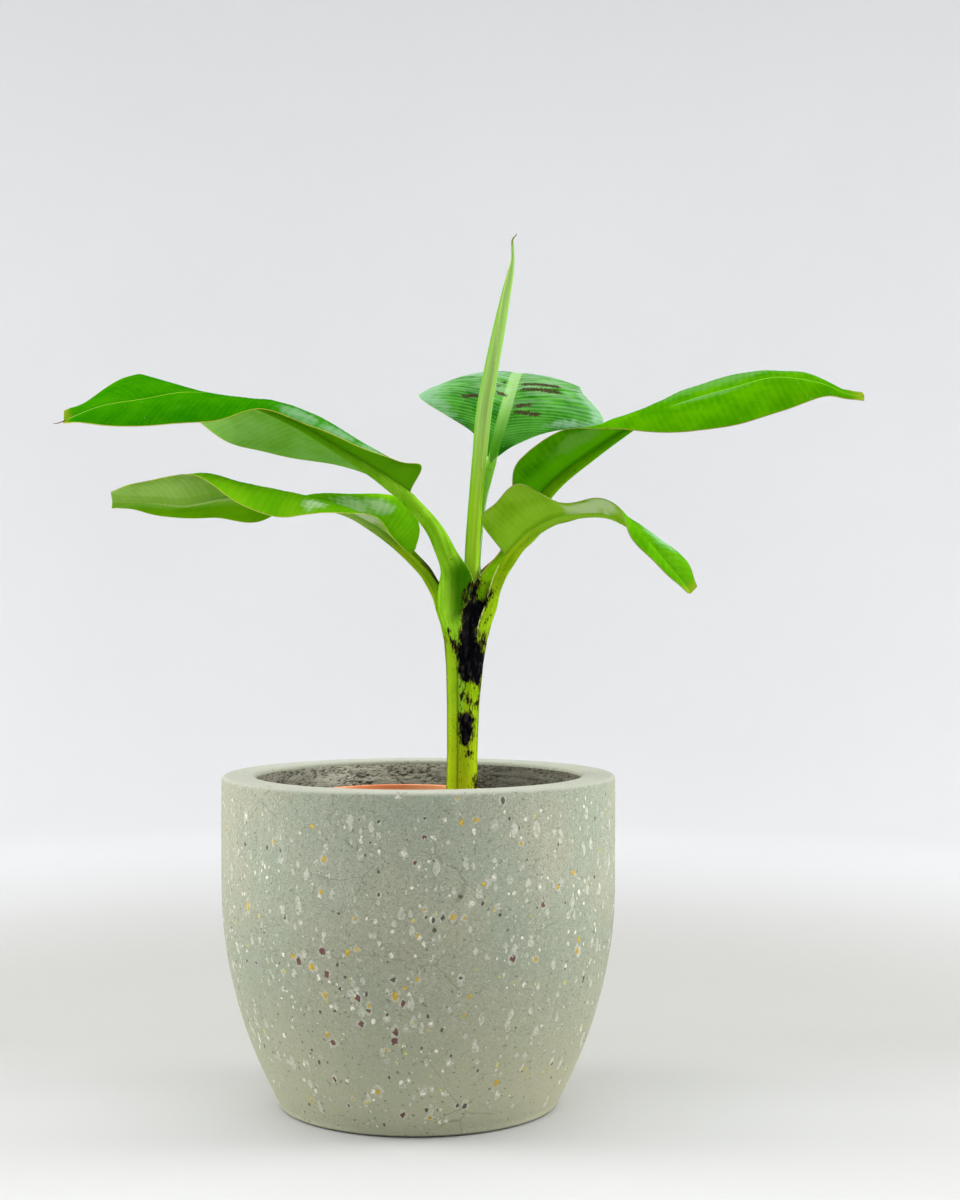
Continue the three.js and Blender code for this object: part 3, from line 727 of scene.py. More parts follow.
def place_on_wall(pixel_x, pixel_y):
    """Angle and height of the point of the planter's wall that a pixel of the photograph shows."""
    y = -PLANTER_RADIUS
    for _ in range(20):
        scale = (y - CAMERA_Y) / PIXELS_PER_SLOPE
        x = CAMERA_X + (pixel_x - LEVEL_PIXEL_X) * scale
        z = CAMERA_Z + (LEVEL_PIXEL_Y - pixel_y) * scale
        y = -math.sqrt(max(float(wall_radius(z)) ** 2 - x * x, 0))
    return math.atan2(y, x), z


def chip_look(name, shade):
    look = Look(name, 0.5, 0.3)
    red, green, blue, _ = shade
    darker = (red * 0.7, green * 0.68, blue * 0.62, 1)
    look.paint(look.mix(look.ramp(look.noise(2.2, 3), 0.42, 0.62), darker, shade))
    look.relief(look.noise(1.2, 3), 0.1, 0.5)
    return look.material


def wall_point(angle, height, rise):
    """A place on the planter's cast wall, lifted off it by a rise."""
    r = float(wall_radius(height))
    x, y = r * math.cos(angle), r * math.sin(angle)
    r += rise + wall_swell(x, y, height)
    return r * math.cos(angle), r * math.sin(angle), height


def angular(rng, width, tall):
    """Corners of a broken chip, each given as across and up from its middle."""
    count = rng.randint(4, 7)
    spin = rng.uniform(0, 2 * math.pi)
    corners = []
    for k in range(count):
        turn = spin + 2 * math.pi * (k + rng.uniform(-0.25, 0.25)) / count
        reach = 0.5 * width * rng.uniform(0.55, 1.15)
        corners.append((reach * math.cos(turn), reach * tall * math.sin(turn)))
    return corners


def teardrop(rng, width, tall):
    """Corners of a patch of cement that hangs wide at its foot."""
    corners = []
    for k in range(12):
        turn = 2 * math.pi * k / 12
        narrow = 1 - 0.45 * max(math.sin(turn), 0)
        reach = 0.5 * width * rng.uniform(0.78, 1.12)
        corners.append((reach * narrow * math.cos(turn), reach * tall * math.sin(turn)))
    return corners


def make_chips():
    """Angular chips flush with the wall, many with a pale halo, and pale ghosts of buried chips."""
    rng = random.Random(41)
    points, faces, slots, heights = [], [], [], []
    looks = {kind: chip_look("chip_" + kind, kept[0]) for kind, kept in CHIP_KINDS.items()}
    looks["ghost"] = concrete_look("chip_ghost", 0.62)
    looks["halo"] = concrete_look("chip_halo", 0.4)
    looks["hem"] = chip_look("chip_hem", colour(142, 146, 126))
    kinds = list(looks)

    def add_patch(angle, z, corners, kind, lift, hem=False):
        """A low mound on the wall, with a thin dark hem round it or a skirt into the wall."""
        start, count = len(points), len(corners)
        radius = float(wall_radius(z))
        rings = [(1.07, 0.02), (1.0, 0.02)] if hem else [(1.0, -0.3)]
        for size, rise in (*rings, (0.94, lift)):
            for across, up in corners:
                height = min(z + up * size, PLANTER_HEIGHT - 5)
                points.append(wall_point(angle + across * size / radius, height, rise))
        points.append(wall_point(angle, z, lift + 0.03))
        for ring, ring_kind in enumerate(["hem", kind] if hem else [kind]):
            for k in range(count):
                a, b = start + ring * count + k, start + ring * count + (k + 1) % count
                faces.append((a, b, b + count, a + count))
                slots.append(kinds.index(ring_kind))
        last = start + len(rings) * count
        for k in range(count):
            faces.append((last + k, last + (k + 1) % count, last + count))
            slots.append(kinds.index(kind))
        heights.extend([z] * ((len(rings) + 1) * count + 1))

    def add_chip(angle, z, width, kind, halo):
        if halo:
            grown = width * rng.uniform(1.25, 1.75)
            drop = teardrop(rng, grown, rng.uniform(1.0, 1.6))
            add_patch(angle, z + 0.1 * width, drop, "halo", HALO_LIFT)
        add_patch(angle, z, angular(rng, width, rng.uniform(0.9, 1.5)), kind, CHIP_LIFT)

    for kind, pixels in CHIPS_AT_PIXELS.items():
        for pixel_x, pixel_y in pixels:
            angle, z = place_on_wall(pixel_x, pixel_y)
            width = rng.uniform(4.4, 7.2) if kind in COLOURED_CHIPS else rng.uniform(3.6, 6.2)
            add_chip(angle, z, width, kind, rng.random() < PLACED_HALO_SHARE)
    for _ in range(GHOST_COUNT):
        z = 14 + 268 * rng.random()
        width = 2.5 + 5.5 * rng.random() ** 1.5
        drop = teardrop(rng, width, rng.uniform(1.2, 2.3))
        add_patch(rng.uniform(0, 2 * math.pi), z, drop, "ghost", GHOST_LIFT, hem=True)
    clusters = [(rng.uniform(0, 2 * math.pi), rng.uniform(20, 285)) for _ in range(CHIP_CLUSTERS)]
    shares = [share for _, share, _ in CHIP_KINDS.values()]
    for _ in range(LOOSE_CHIPS):
        kind = rng.choices(list(CHIP_KINDS), shares)[0]
        low, high = CHIP_KINDS[kind][2]
        width = low + (high - low) * rng.random() ** 1.9
        angle = rng.uniform(0, 2 * math.pi)
        z = LOWEST_CHIP + (HIGHEST_CHIP - LOWEST_CHIP) * rng.random()
        if rng.random() < CLUSTERED_SHARE:
            angle, z = rng.choice(clusters)
            angle += rng.gauss(0, CLUSTER_TURN)
            z = min(max(z + rng.gauss(0, CLUSTER_RISE), LOWEST_CHIP), HIGHEST_CHIP)
        near = NEAR_SIDE[0] < math.atan2(math.sin(angle), math.cos(angle)) < NEAR_SIDE[1]
        # The near side already has its coloured chips.
        if kind in COLOURED_CHIPS and near:
            kind = "pale_grey"
        add_chip(angle, z, width, kind, rng.random() < LOOSE_HALO_SHARE)
    looks, values = list(looks.values()), {"height": heights}
    make_piece("stone_chips", points, faces, looks, (), slots, values, smooth=False)


# Growing mix and nursery pot.


def mix_look():
    look = Look("growing_mix", 0.95, 0.2)
    crumbs = look.noise(3, 4, roughness=0.75)
    grains = look.ramp(look.cells(5)["Distance"], 0.22, 0.14)
    base = look.blend(crumbs, 0.35, 0.7, (38, 28, 20), (98, 76, 56))
    look.paint(base, [(grains, 1, (122, 100, 76))])
    look.relief(crumbs, 1.0)
    return look.material


def make_mix(name, outer, hole, level, floor, material, node):
    """A ring of growing mix with a crumbly top. outer and hole are each (centre x, radius)."""
    rings, sides = 64, 220
    angles = angles_round(sides)
    rim, inner = (
        np.stack([centre_x + radius * np.cos(angles), radius * np.sin(angles)], -1)
        for centre_x, radius in (outer, hole)
    )
    share = np.linspace(0, 1, rings)[:, None, None]
    points = np.zeros((rings, sides, 3))
    points[..., :2] = inner * (1 - share) + rim * share
    for point in points.reshape(-1, 3):
        x, y = point[:2]
        from_stem = math.hypot(x - TRUNK_SECTIONS[0][1], y - TRUNK_SECTIONS[0][2])
        mound = 2.4 * math.exp(-((max(from_stem - 13, 0) / 8) ** 2))
        point[2] = level - 1.2
        for rise, size in MIX_BUMPS:
            point[2] += rise * noise.noise(Vector((x / size, y / size, level)))
        point[2] += mound
    inner_skirt, skirt = points[0].copy(), points[-1].copy()
    inner_skirt[:, 2] = skirt[:, 2] = floor
    stacked = np.vstack([[inner_skirt], points, [skirt]])
    faces = grid_faces(rings + 2, sides, closed=True, flip=True).tolist()
    last = (rings + 1) * sides
    faces += [[j, (j + 1) % sides, last + (j + 1) % sides, last + j] for j in range(sides)]
    make_piece(name, stacked, faces, [material], [node])


CRUMB_COUNT = 1500


def make_crumbs(material):
    """Loose crumbs and bark bits on both soil surfaces."""
    rng = random.Random(7)
    points, faces = [], []

    def crumb(x, y, z, size):
        start = len(points)
        for px, py, pz in ((1, 0, 0), (-1, 0, 0), (0, 1, 0), (0, -1, 0), (0, 0, 1), (0, 0, -1)):
            reach = size * rng.uniform(0.6, 1.3)
            points.append((x + px * reach, y + py * reach, z + pz * reach * 0.7))
        for a, b in ((0, 2), (2, 1), (1, 3), (3, 0)):
            faces.append((start + a, start + b, start + 4))
            faces.append((start + b, start + a, start + 5))

    inner_wall = PLANTER_RADIUS - PLANTER_WALL - 4
    pot_inside = NURSERY_RADIUS_TOP - NURSERY_WALL - 7
    pot_outside = NURSERY_RADIUS_TOP + 5
    from_middle, clear_of_stem = 150, 19
    while len(faces) < 8 * CRUMB_COUNT:
        x, y = (rng.uniform(-from_middle, from_middle) for _ in range(2))
        from_pot = math.hypot(x - NURSERY_X, y)
        if math.hypot(x, y) > inner_wall:
            continue
        from_stem = math.hypot(x - TRUNK_SECTIONS[0][1], y)
        if from_pot < pot_inside and from_stem > clear_of_stem:
            crumb(x, y, SOIL_TOP - 0.6, rng.uniform(0.8, 2.2))
        elif from_pot > pot_outside:
            crumb(x, y, BED_TOP - 0.6, rng.uniform(0.8, 2.6))
    make_piece("soil_crumbs", points, faces, [material])


def nursery_radius(z):
    """Outer radius of the nursery pot at heights."""
    share = (np.asarray(z, float) - (NURSERY_RIM_TOP - NURSERY_HEIGHT)) / NURSERY_HEIGHT
    return NURSERY_RADIUS_BOTTOM + (NURSERY_RADIUS_TOP - NURSERY_RADIUS_BOTTOM) * share


def nursery_look():
    look = Look("nursery_plastic", 0.42, 0.45)
    cloud = look.noise(30, 3)
    dust = look.ramp(look.noise(2.2, 4, roughness=0.7), 0.58, 0.75)
    base = look.blend(cloud, 0.4, 0.6, (240, 140, 88), (250, 166, 112))
    look.paint(base, [(dust, 0.5, (214, 178, 150))])
    look.relief(look.noise(1.5, 2), 0.08, 0.5)
    look.rough(cloud, 0.36, 0.5)
    return look.material


def make_nursery_pot():
    """The nursery pot as one turned shell with a rolled lip."""
    bottom = NURSERY_RIM_TOP - NURSERY_HEIGHT
    floor = bottom + NURSERY_WALL
    lip_foot = NURSERY_RIM_TOP - NURSERY_LIP_HEIGHT
    lip = NURSERY_RADIUS_TOP + NURSERY_LIP
    edge = NURSERY_WALL / 2
    inner_top = NURSERY_RADIUS_TOP - NURSERY_WALL
    roll = 1.7
    wall_z = np.linspace(bottom + 2, lip_foot - 1, 12)
    outline = np.vstack([
        [[0.5, bottom], [NURSERY_RADIUS_BOTTOM - 2, bottom]],
        np.stack([nursery_radius(wall_z), wall_z], -1),
        [[lip - 1.4, lip_foot], [lip - 0.5, lip_foot + 0.5], [lip - 0.3, lip_foot + 3]],
        arc_points(lip - roll, NURSERY_RIM_TOP - roll, roll, -20, 90, 8),
        arc_points(inner_top + edge, NURSERY_RIM_TOP - edge, edge, 90, 180, 5),
        [[inner_top - 0.4, lip_foot], [inner_top - 0.9, lip_foot - 2]],
        [[float(nursery_radius(floor)) - NURSERY_WALL, floor], [0.5, floor]],
    ])
    sides = 200
    points = turned_points(outline, sides, NURSERY_X)
    faces = capped_faces(len(outline), sides)
    looks = [nursery_look()]
    make_piece("nursery_pot_shell", points, faces, looks, ["nursery_pot"])


# Leaf blades.

BLADE_HALF_THICKNESS = 0.36
BLADE_EDGE_HALF_THICKNESS = 0.2
VEIN_RELIEF = 0.07
PLEAT_RELIEF = 0.7
MARGIN_SWAY = 0.5
MARGIN_WAVES = 7
# How far the veins slant towards the tip, as a share of the blade's length.
VEIN_SLANT = 0.025
GROOVE_HALF_WIDTH = 1.6
# Where the columns of a blade's half lie, as shares of the way out from the rib.
OUTWARD = np.array([
    0, 0.015, 0.035, 0.06, 0.1, 0.15, 0.21, 0.28, 0.35, 0.42, 0.49, 0.56, 0.63, 0.7, 0.77, 0.84,
    0.9, 0.95, 0.98, 1,
])


def half_blade(rib, along, edge, arch, turn):
    """A grid of points from the rib out to one edge, each row an arch."""
    outward = edge - rib
    up = unit(np.cross(along, outward)) * turn
    control = 0.5 * (rib + edge) + 2 * arch[:, None] * up
    v = OUTWARD[None, :, None]
    return (1 - v) ** 2 * rib[:, None] + 2 * v * (1 - v) * control[:, None] + v**2 * edge[:, None]


def blade_curves(leaf, shares):
    """A leaf's rib, its direction, both edges and how far the halves arch, at shares of its length."""
    stations = leaf["stations"]
    rib, left, right, arch = (smooth_curve([s[k] for s in stations], shares) for k in range(4))
    return rib, tangents([s[0] for s in stations], shares), left, right, arch


def grid_normals(points):
    across = np.gradient(points, axis=1)
    along = np.gradient(points, axis=0)
    return unit(np.cross(across, along))


def soft_spots(shares, out, spots):
    """Soft patches over a blade, each with its place and its size along and across the blade."""
    field = np.zeros((len(shares), len(out)))
    for share, side, length, width in spots:
        away = ((shares[:, None] - share) / length) ** 2 + ((out[None] - side) / width) ** 2
        field = np.maximum(field, np.exp(-away))
    return field


def streaks(shares, out, lines):
    """Streaks along the veins, each from one place on the blade to another."""
    field = np.zeros((len(shares), len(out)))
    for from_share, from_out, to_share, to_out in lines:
        (low, low_share), (high, high_share) = sorted([(from_out, from_share), (to_out, to_share)])
        middle = np.interp(out, [low, high], [low_share, high_share])
        near = np.exp(-(((shares[:, None] - middle[None]) / 0.016) ** 2))
        within = smoothstep(low - 0.06, low + 0.02, out) * smoothstep(high + 0.06, high - 0.02, out)
        field = np.maximum(field, near * within[None])
    return field


def make_blade(name, leaf):
    """A blade as a thin closed sheet, with six rows of points to each vein."""
    rows = 6 * leaf["veins"] + 1
    shares = np.linspace(0, 1, rows)
    share = shares[:, None]
    rib, along, left, right, arch = blade_curves(leaf, shares)
    left_half = half_blade(rib, along, left, arch[:, 0], 1)
    right_half = half_blade(rib, along, right, arch[:, 1], -1)
    points = np.concatenate([left_half[:, ::-1], right_half[:, 1:]], axis=1)
    out = np.concatenate([-OUTWARD[::-1], OUTWARD[1:]])
    run = run_across(points)
    middle = len(OUTWARD) - 1
    from_rib = np.abs(run - run[:, middle : middle + 1])
    from_edge = np.where(out < 0, run, run[:, -1:] - run)
    vein = leaf["veins"] * (share - VEIN_SLANT * np.abs(out) ** 1.6)
    normals = grid_normals(points)

    # Veins, pleats and a wavy margin lift the blade, and a groove runs along its rib.
    left_pleat, right_pleat = (
        np.array([noise.noise(Vector((row * leaf["veins"] * 0.34, offset, 3.1))) for row in shares])
        for offset in (0, 7.7)
    )
    pleat = np.where(out < 0, left_pleat[:, None], right_pleat[:, None])
    clear = smoothstep(2, 12, from_rib) * smoothstep(0, 6, from_edge)
    ripple = (VEIN_RELIEF * np.sin(2 * math.pi * vein) + PLEAT_RELIEF * pleat) * clear
    waves = np.sin(2 * math.pi * share * MARGIN_WAVES + 2 * np.sign(out))
    sway = MARGIN_SWAY * waves * np.abs(out) ** 4
    end_fade = smoothstep(0, 0.08, share) * smoothstep(1, 0.94, share)
    points = points + normals * ((ripple + sway) * end_fade)[..., None]
    groove_depth = leaf.get("groove", 0.55) * smoothstep(0.03, 0.1, share)
    groove = -groove_depth * np.exp(-((from_rib / GROOVE_HALF_WIDTH) ** 2))
    thicker = (BLADE_HALF_THICKNESS - BLADE_EDGE_HALF_THICKNESS) * smoothstep(0, 5, from_edge)
    half = BLADE_EDGE_HALF_THICKNESS + thicker
    top = points + normals * (half + groove)[..., None]
    bottom = points - normals * (half - groove)[..., None]

    faces = shell_faces(rows, len(out))
    slots = np.repeat([0, 1, 2], [len(part) for part in faces])
    values = {
        "vein": vein,
        "rib": from_rib,
        "edge": from_edge,
        "share": share,
        "out": out,
        # Where painted sheen lies, above and under the blade.
        "painted_sheen": soft_spots(shares, out, leaf.get("painted_sheen", [])),
        "under_painted_sheen": soft_spots(shares, out, leaf.get("under_painted_sheen", [])),
        "stain": streaks(shares, out, leaf.get("stains", [])),
    }
    looks = [upper_look(name, leaf), under_look(name, leaf), margin_look(name, leaf)]
    nodes = [name + "_blade_inner", name + "_blade_outer"]
    both, faces = np.stack([top, bottom]), np.vstack(faces)
    make_piece(name + "_blade", both, faces, looks, nodes, slots, values)


def veined(look, dark, light, contrast):
    """Colour that varies from vein to vein and in soft clouds, with the veins as relief."""
    vein = look.value("vein")
    fine = look.wave(vein, 6)
    drift = look.noise(1.3, 3, look.unrolled("vein", "out", 2.5))
    tone = look.plus(look.noise(30, 3), look.times(look.wave(vein, 1), contrast))
    tone = look.plus(tone, look.times(fine, contrast * 0.7))
    tone = look.plus(tone, look.times(drift, 0.2))
    look.relief(look.plus(look.times(fine, 0.6), look.noise(1.8, 2)), 0.16, 0.6)
    return look.blend(tone, 0.4 + contrast * 0.4, 0.8 + contrast, dark, light)


def upper_look(name, leaf):
    look = Look(name + "_upper", 0.36, 0.0)
    share, vein = look.value("share"), look.value("vein")
    rib_shade, rib_width = leaf["rib"]
    rib = look.ramp(look.value("rib"), rib_width, rib_width * 0.75)
    rib_tone = look.blend(share, 0.12, 0.5, leaf.get("rib_foot", rib_shade), rib_shade)
    blade = veined(look, *leaf["upper"], leaf.get("contrast", 0.08))
    # Pale patches of painted sheen, broken along the veins.
    streaky = look.times(look.wave(vein, 1), 0.1)
    broken = look.plus(look.noise(5, 4, look.stretched((0.5, 1, 1))), streaky)
    painted_sheen = look.ramp(look.plus(look.value("painted_sheen"), broken), 0.9, 1.6)
    # A painted sheen over the outer part, broken into strands along the veins.
    strands = look.ramp(look.noise(1.1, 2, look.unrolled("vein", "out", 3)), 0.38, 0.6)
    painted_outer_sheen = look.times(look.ramp(share, 0.3, 0.56), strands)
    marks = look.times(look.noise(3.2, 3, look.stretched((1.6, 1, 1))), 1.4)
    grooves = look.plus(look.times(look.wave(vein, 3), 0.35), 0.72)
    stain = look.plus(look.times(look.value("stain"), grooves), marks)
    # Pale specks of dew on the wetter cells: drops whose paleness is a painted glint.
    dew = look.cells(4.5)
    cell_green = look.add("SeparateColor", {0: dew["Color"]}, 1)
    wet = look.ramp(cell_green, leaf.get("dry_share", 0.75), 0.8)
    dew_glints = look.times(look.ramp(dew["Distance"], 0.1, 0.06), wet)
    look.paint(look.mix(rib, blade, rib_tone), [
        (painted_outer_sheen, leaf.get("painted_outer_sheen", 0.0), (168, 196, 168)),
        (painted_sheen, 0.7, leaf.get("painted_sheen_shade", (130, 170, 128))),
        (look.ramp(stain, 1.14, 1.34), 0.92, (66, 46, 38)),
        (dew_glints, 0.6, (214, 236, 200)),
        (look.ramp(share, leaf.get("tip_from", 0.965), 1.0), 0.7, (158, 176, 36)),
        (look.ramp(look.value("edge"), 0.9, 0.3), 1, leaf["margin"]),
    ])
    return look.material


def under_look(name, leaf):
    look = Look(name + "_under", 0.5, 0.0)
    # The underside's shades are bright: a painted glow of light through the blade.
    left_dark, left_light, right_dark, right_light = leaf["under"]
    left = veined(look, left_dark, left_light, 0.08)
    right = veined(look, right_dark, right_light, 0.08)
    from_rib = look.value("rib")
    # The underside pales in a band beside the rib: a painted glow.
    keel_shade = [min(part * 1.12 + 6, 255) for part in left_light]
    # Pale patches of painted sheen under the blade.
    painted_sheen = look.ramp(look.plus(look.value("under_painted_sheen"), look.noise(12, 3)), 0.8, 1.3)
    look.paint(look.mix(look.ramp(look.value("out"), -0.02, 0.02), left, right), [
        (look.ramp(from_rib, 34, 16), leaf.get("keel_band", 0.2), keel_shade),
        (look.ramp(from_rib, 9, 6), 0.5, left_dark),
        (painted_sheen, 0.8, leaf.get("under_painted_sheen_shade", (206, 228, 180))),
        (look.ramp(look.value("edge"), 0.9, 0.3), 1, leaf["margin"]),
    ])
    return look.material


def margin_look(name, leaf):
    look = Look(name + "_margin", 0.5, 0.2)
    red, green, blue = leaf["margin"]
    dry = (red * 0.7, green * 0.6, blue * 0.6)
    look.paint(look.blend(look.noise(12, 3), 0.5, 0.65, leaf["margin"], dry))
    return look.material


# Stalks, sheaths and midribs.

ACROSS = np.linspace(-1, 1, 41)
SHEATH_THICKNESS = 1.5
LAYER_STEP = 1.1
FORK_TUCK = 3.5
CHANNEL_DEPTH = 1.25
# Heights between which the sheaths part at the fork.
FORK_PARTING = (440, 485)
# Rows before and after the blade's foot over which the stalk's section turns to the midrib's.
SETTLE_BEFORE, SETTLE_AFTER = 16, 4
# How far below and above level a midrib's sides may turn to meet the blade, in degrees.
TILT_RANGE = (-25, 60)
KEEL_END = 0.5
THREAD_RADII = (0.45, 0.2)
# Sections of a leaf's stalk: heights up the trunk, shares of the free stalk and of the blade.
LOW_Z = np.linspace(STEM_FOOT, FORK_TOP, 80)[:-1]
STALK_SHARES = np.linspace(0, 1, 50)[:-1]
BLADE_SHARES = np.linspace(0, 1, 170)
UNDER = len(LOW_Z) + len(STALK_SHARES)
BLADE_ROWS = slice(UNDER, UNDER + len(BLADE_SHARES))


def trunk_oval(z):
    """Centre and half-widths of the trunk at heights."""
    table = np.array(TRUNK_SECTIONS, float)
    return [np.interp(z, table[:, 0], table[:, k]) for k in (1, 2, 3, 4)]


def oval_points(z, degrees, inset):
    """Points on the trunk's surface at heights and at angles round it, a depth inside it."""
    x, y, half_x, half_y = trunk_oval(z)
    angle = np.radians(degrees)
    across = (half_x - inset)[:, None] * np.cos(angle)
    deep = (half_y - inset)[:, None] * np.sin(angle)
    height = np.repeat(z[:, None], angle.shape[1], 1)
    return np.stack([x[:, None] + across, y[:, None] + deep, height], -1)


def sheath_inset(leaf, z):
    """How deep a leaf's sheath lies in the trunk at heights. Sheaths part above the fork."""
    return leaf["layer"] * (LAYER_STEP + FORK_TUCK * smoothstep(*FORK_PARTING, z))


def facing_direction(leaf):
    facing = math.radians(leaf["facing"])
    return np.array([math.cos(facing), math.sin(facing), 0.0])


def centre_line(leaf, rib):
    """Up the trunk, along the stalk, under the blade and out past its tip."""
    degrees = np.full((len(LOW_Z), 1), float(leaf["facing"]))
    touch = oval_points(LOW_Z, degrees, sheath_inset(leaf, LOW_Z))[:, 0]
    low_line = touch - leaf["radius"][0] * facing_direction(leaf)
    gap = np.array(leaf["stalk"][0]) - low_line[-1]
    gap[2] = 0
    low_line = low_line + gap * smoothstep(400, FORK_TOP, LOW_Z)[:, None]
    thread = np.array(leaf.get("thread", []), float).reshape(-1, 3)
    free_line = smooth_curve([*leaf["stalk"], leaf["stations"][0][0]], STALK_SHARES)
    return np.vstack([low_line, free_line, rib, thread])


def section_directions(leaf, line, blade_up):
    """Up and sideways at each section: towards the trunk's axis low down, the blade's own above."""
    back = -facing_direction(leaf)
    turn = smoothstep(0.15, 1, np.linspace(0, 1, len(STALK_SHARES)))[:, None]
    stalk_up = unit((1 - turn) * back + turn * blade_up[2])
    low_up = np.repeat(back[None], len(LOW_Z), 0)
    far_up = np.repeat(blade_up[-3:-2], len(line) - BLADE_ROWS.stop, 0)
    up = np.vstack([low_up, stalk_up, blade_up, far_up])
    up[UNDER : UNDER + 3] = blade_up[2]
    along = unit(np.gradient(line, axis=0))
    along[: len(LOW_Z)] = (0, 0, 1)
    up = unit(up - along * np.sum(up * along, 1, keepdims=True))
    return up, np.cross(up, along)


def section_angles(leaf, up, side, leaving, settle):
    """How far round its centre each point of a section lies: the stalk's opening, then the blade's."""
    reach = []
    for toward, sign in zip(leaving, (-1, 1)):
        height = np.sum(toward * up[BLADE_ROWS], 1)
        width = sign * np.sum(toward * side[BLADE_ROWS], 1)
        tilt = np.degrees(np.arctan2(height, np.maximum(width, 0.5)))
        tilt[:3], tilt[-6:] = tilt[3], tilt[-7]
        tilt = 90 + np.clip(tilt, *TILT_RANGE)
        far = np.full(len(up) - BLADE_ROWS.stop, tilt[-1])
        blade_reach = np.concatenate([np.full(UNDER, tilt[0]), tilt, far])
        reach.append(leaf["opening"] * (1 - settle) + blade_reach * settle)
    return np.radians(np.where(ACROSS < 0, reach[0][:, None], reach[1][:, None]) * ACROSS)


def free_sections(line, radius, up, side, angle, settle):
    """Outer and inner faces clear of the trunk: a channelled stalk that turns to a solid keel."""
    arc = -np.cos(angle)[..., None] * up[:, None] + np.sin(angle)[..., None] * side[:, None]
    outer = line[:, None] + radius[:, None, None] * arc
    ends = np.where((ACROSS < 0)[None, :, None], arc[:, :1], arc[:, -1:])
    straight = line[:, None] + radius[:, None, None] * np.abs(ACROSS)[None, :, None] * ends
    sink = CHANNEL_DEPTH * radius[:, None] * np.cos(ACROSS * math.pi / 2) ** 0.8
    brim = np.sum((outer[:, :1] + outer[:, -1:]) * 0.5 * up[:, None], -1)
    level = brim - np.sum(line * up, 1)[:, None]
    spread = np.abs(np.sin(angle[:, -1:])) * np.maximum(radius[:, None] - 0.5, 0.1) * ACROSS
    bowl = line[:, None] + (level - sink)[..., None] * up[:, None] + spread[..., None] * side[:, None]
    settled = settle[:, None, None]
    return outer, (1 - settled) * bowl + settled * straight


def wrapped_sections(leaf, z):
    """Outer and inner faces of the thin sheath that follows the trunk's oval at heights."""
    wraps = np.array(leaf["wraps"], float)
    one_side, other_side = (np.interp(z, wraps[:, 0], wraps[:, k])[:, None] for k in (1, 2))
    degrees = leaf["facing"] + ACROSS * np.where(ACROSS < 0, one_side, other_side)
    outer = oval_points(z, degrees, sheath_inset(leaf, z))
    x, y, _, _ = trunk_oval(z)
    axis = np.stack([x, y, z], -1)[:, None]
    thin = SHEATH_THICKNESS * (1 - 0.6 * np.abs(ACROSS) ** 3)
    return outer, outer - unit(outer - axis) * thin[None, :, None]


def make_stalk(name, leaf):
    """A sheath round the trunk that narrows to a grooved stalk and runs on as the blade's midrib."""
    rib, rib_along, left, right, arch = blade_curves(leaf, BLADE_SHARES)
    left_up = unit(np.cross(rib_along, left - rib))
    right_up = unit(np.cross(right - rib, rib_along))
    line = centre_line(leaf, rib)
    rows = len(line)
    far = rows - BLADE_ROWS.stop
    settle = smoothstep(UNDER - SETTLE_BEFORE, UNDER + SETTLE_AFTER, np.arange(rows))
    up, side = section_directions(leaf, line, unit(left_up + right_up))
    leaving_left = 0.5 * (left - rib) + 2 * arch[:, :1] * left_up
    leaving_right = 0.5 * (right - rib) + 2 * arch[:, 1:] * right_up
    angle = section_angles(leaf, up, side, (leaving_right, leaving_left), settle)
    low_radius = np.full(len(LOW_Z), leaf["radius"][0])
    stalk_radius = smooth_curve(np.array(leaf["radius"], float)[:, None], STALK_SHARES)[:, 0]
    keel = KEEL_END + 0.92 * leaf["radius"][-1] * (1 - BLADE_SHARES) ** 1.25
    radius = np.concatenate([low_radius, stalk_radius, keel, np.linspace(*THREAD_RADII, far)])
    outer, inner = free_sections(line, radius, up, side, angle, settle)

    wrap_z = line[:UNDER, 2]
    round_out, round_in = wrapped_sections(leaf, wrap_z)
    freed = smoothstep(*leaf["unroll"], wrap_z)[:, None, None]
    outer[:UNDER] = (1 - freed) * round_out + freed * outer[:UNDER]
    inner[:UNDER] = (1 - freed) * round_in + freed * inner[:UNDER]

    points = np.stack([outer, inner])
    height = points[..., 2]
    girth = run_across(outer)
    edge = np.minimum(girth, girth[:, -1:] - girth)
    edge += 9 * smoothstep(UNDER - 8, UNDER, np.arange(rows))[:, None]
    run = np.concatenate([[0], np.cumsum(np.linalg.norm(np.diff(line, axis=0), axis=1))])
    on_blade, dry = (
        np.concatenate([np.zeros(UNDER), smoothstep(low, high, BLADE_SHARES), np.ones(far)])
        for low, high in ((0.06, 0.4), (0.985, 1))
    )
    values = {
        "edge": edge,
        "round": girth,
        "along": run[:, None],
        "inside": np.arange(2)[:, None, None],
        "blade": on_blade[:, None],
        "dry": dry[:, None],
        # Where the stem is painted paler low down: painted light from the planter's pale inside.
        "foot": smoothstep(400, 290, height),
        "loose": smoothstep(395, 425, height),
    }
    for key, outlines in STEM_MARKS.items():
        values[key] = outline_field(outlines, points)
    faces = np.vstack(shell_faces(rows, len(ACROSS)))
    looks = [stalk_look(name, leaf)]
    nodes = [name + "_stalk"]
    make_piece(name + "_stalk_and_sheath", points, faces, looks, nodes, (), values)


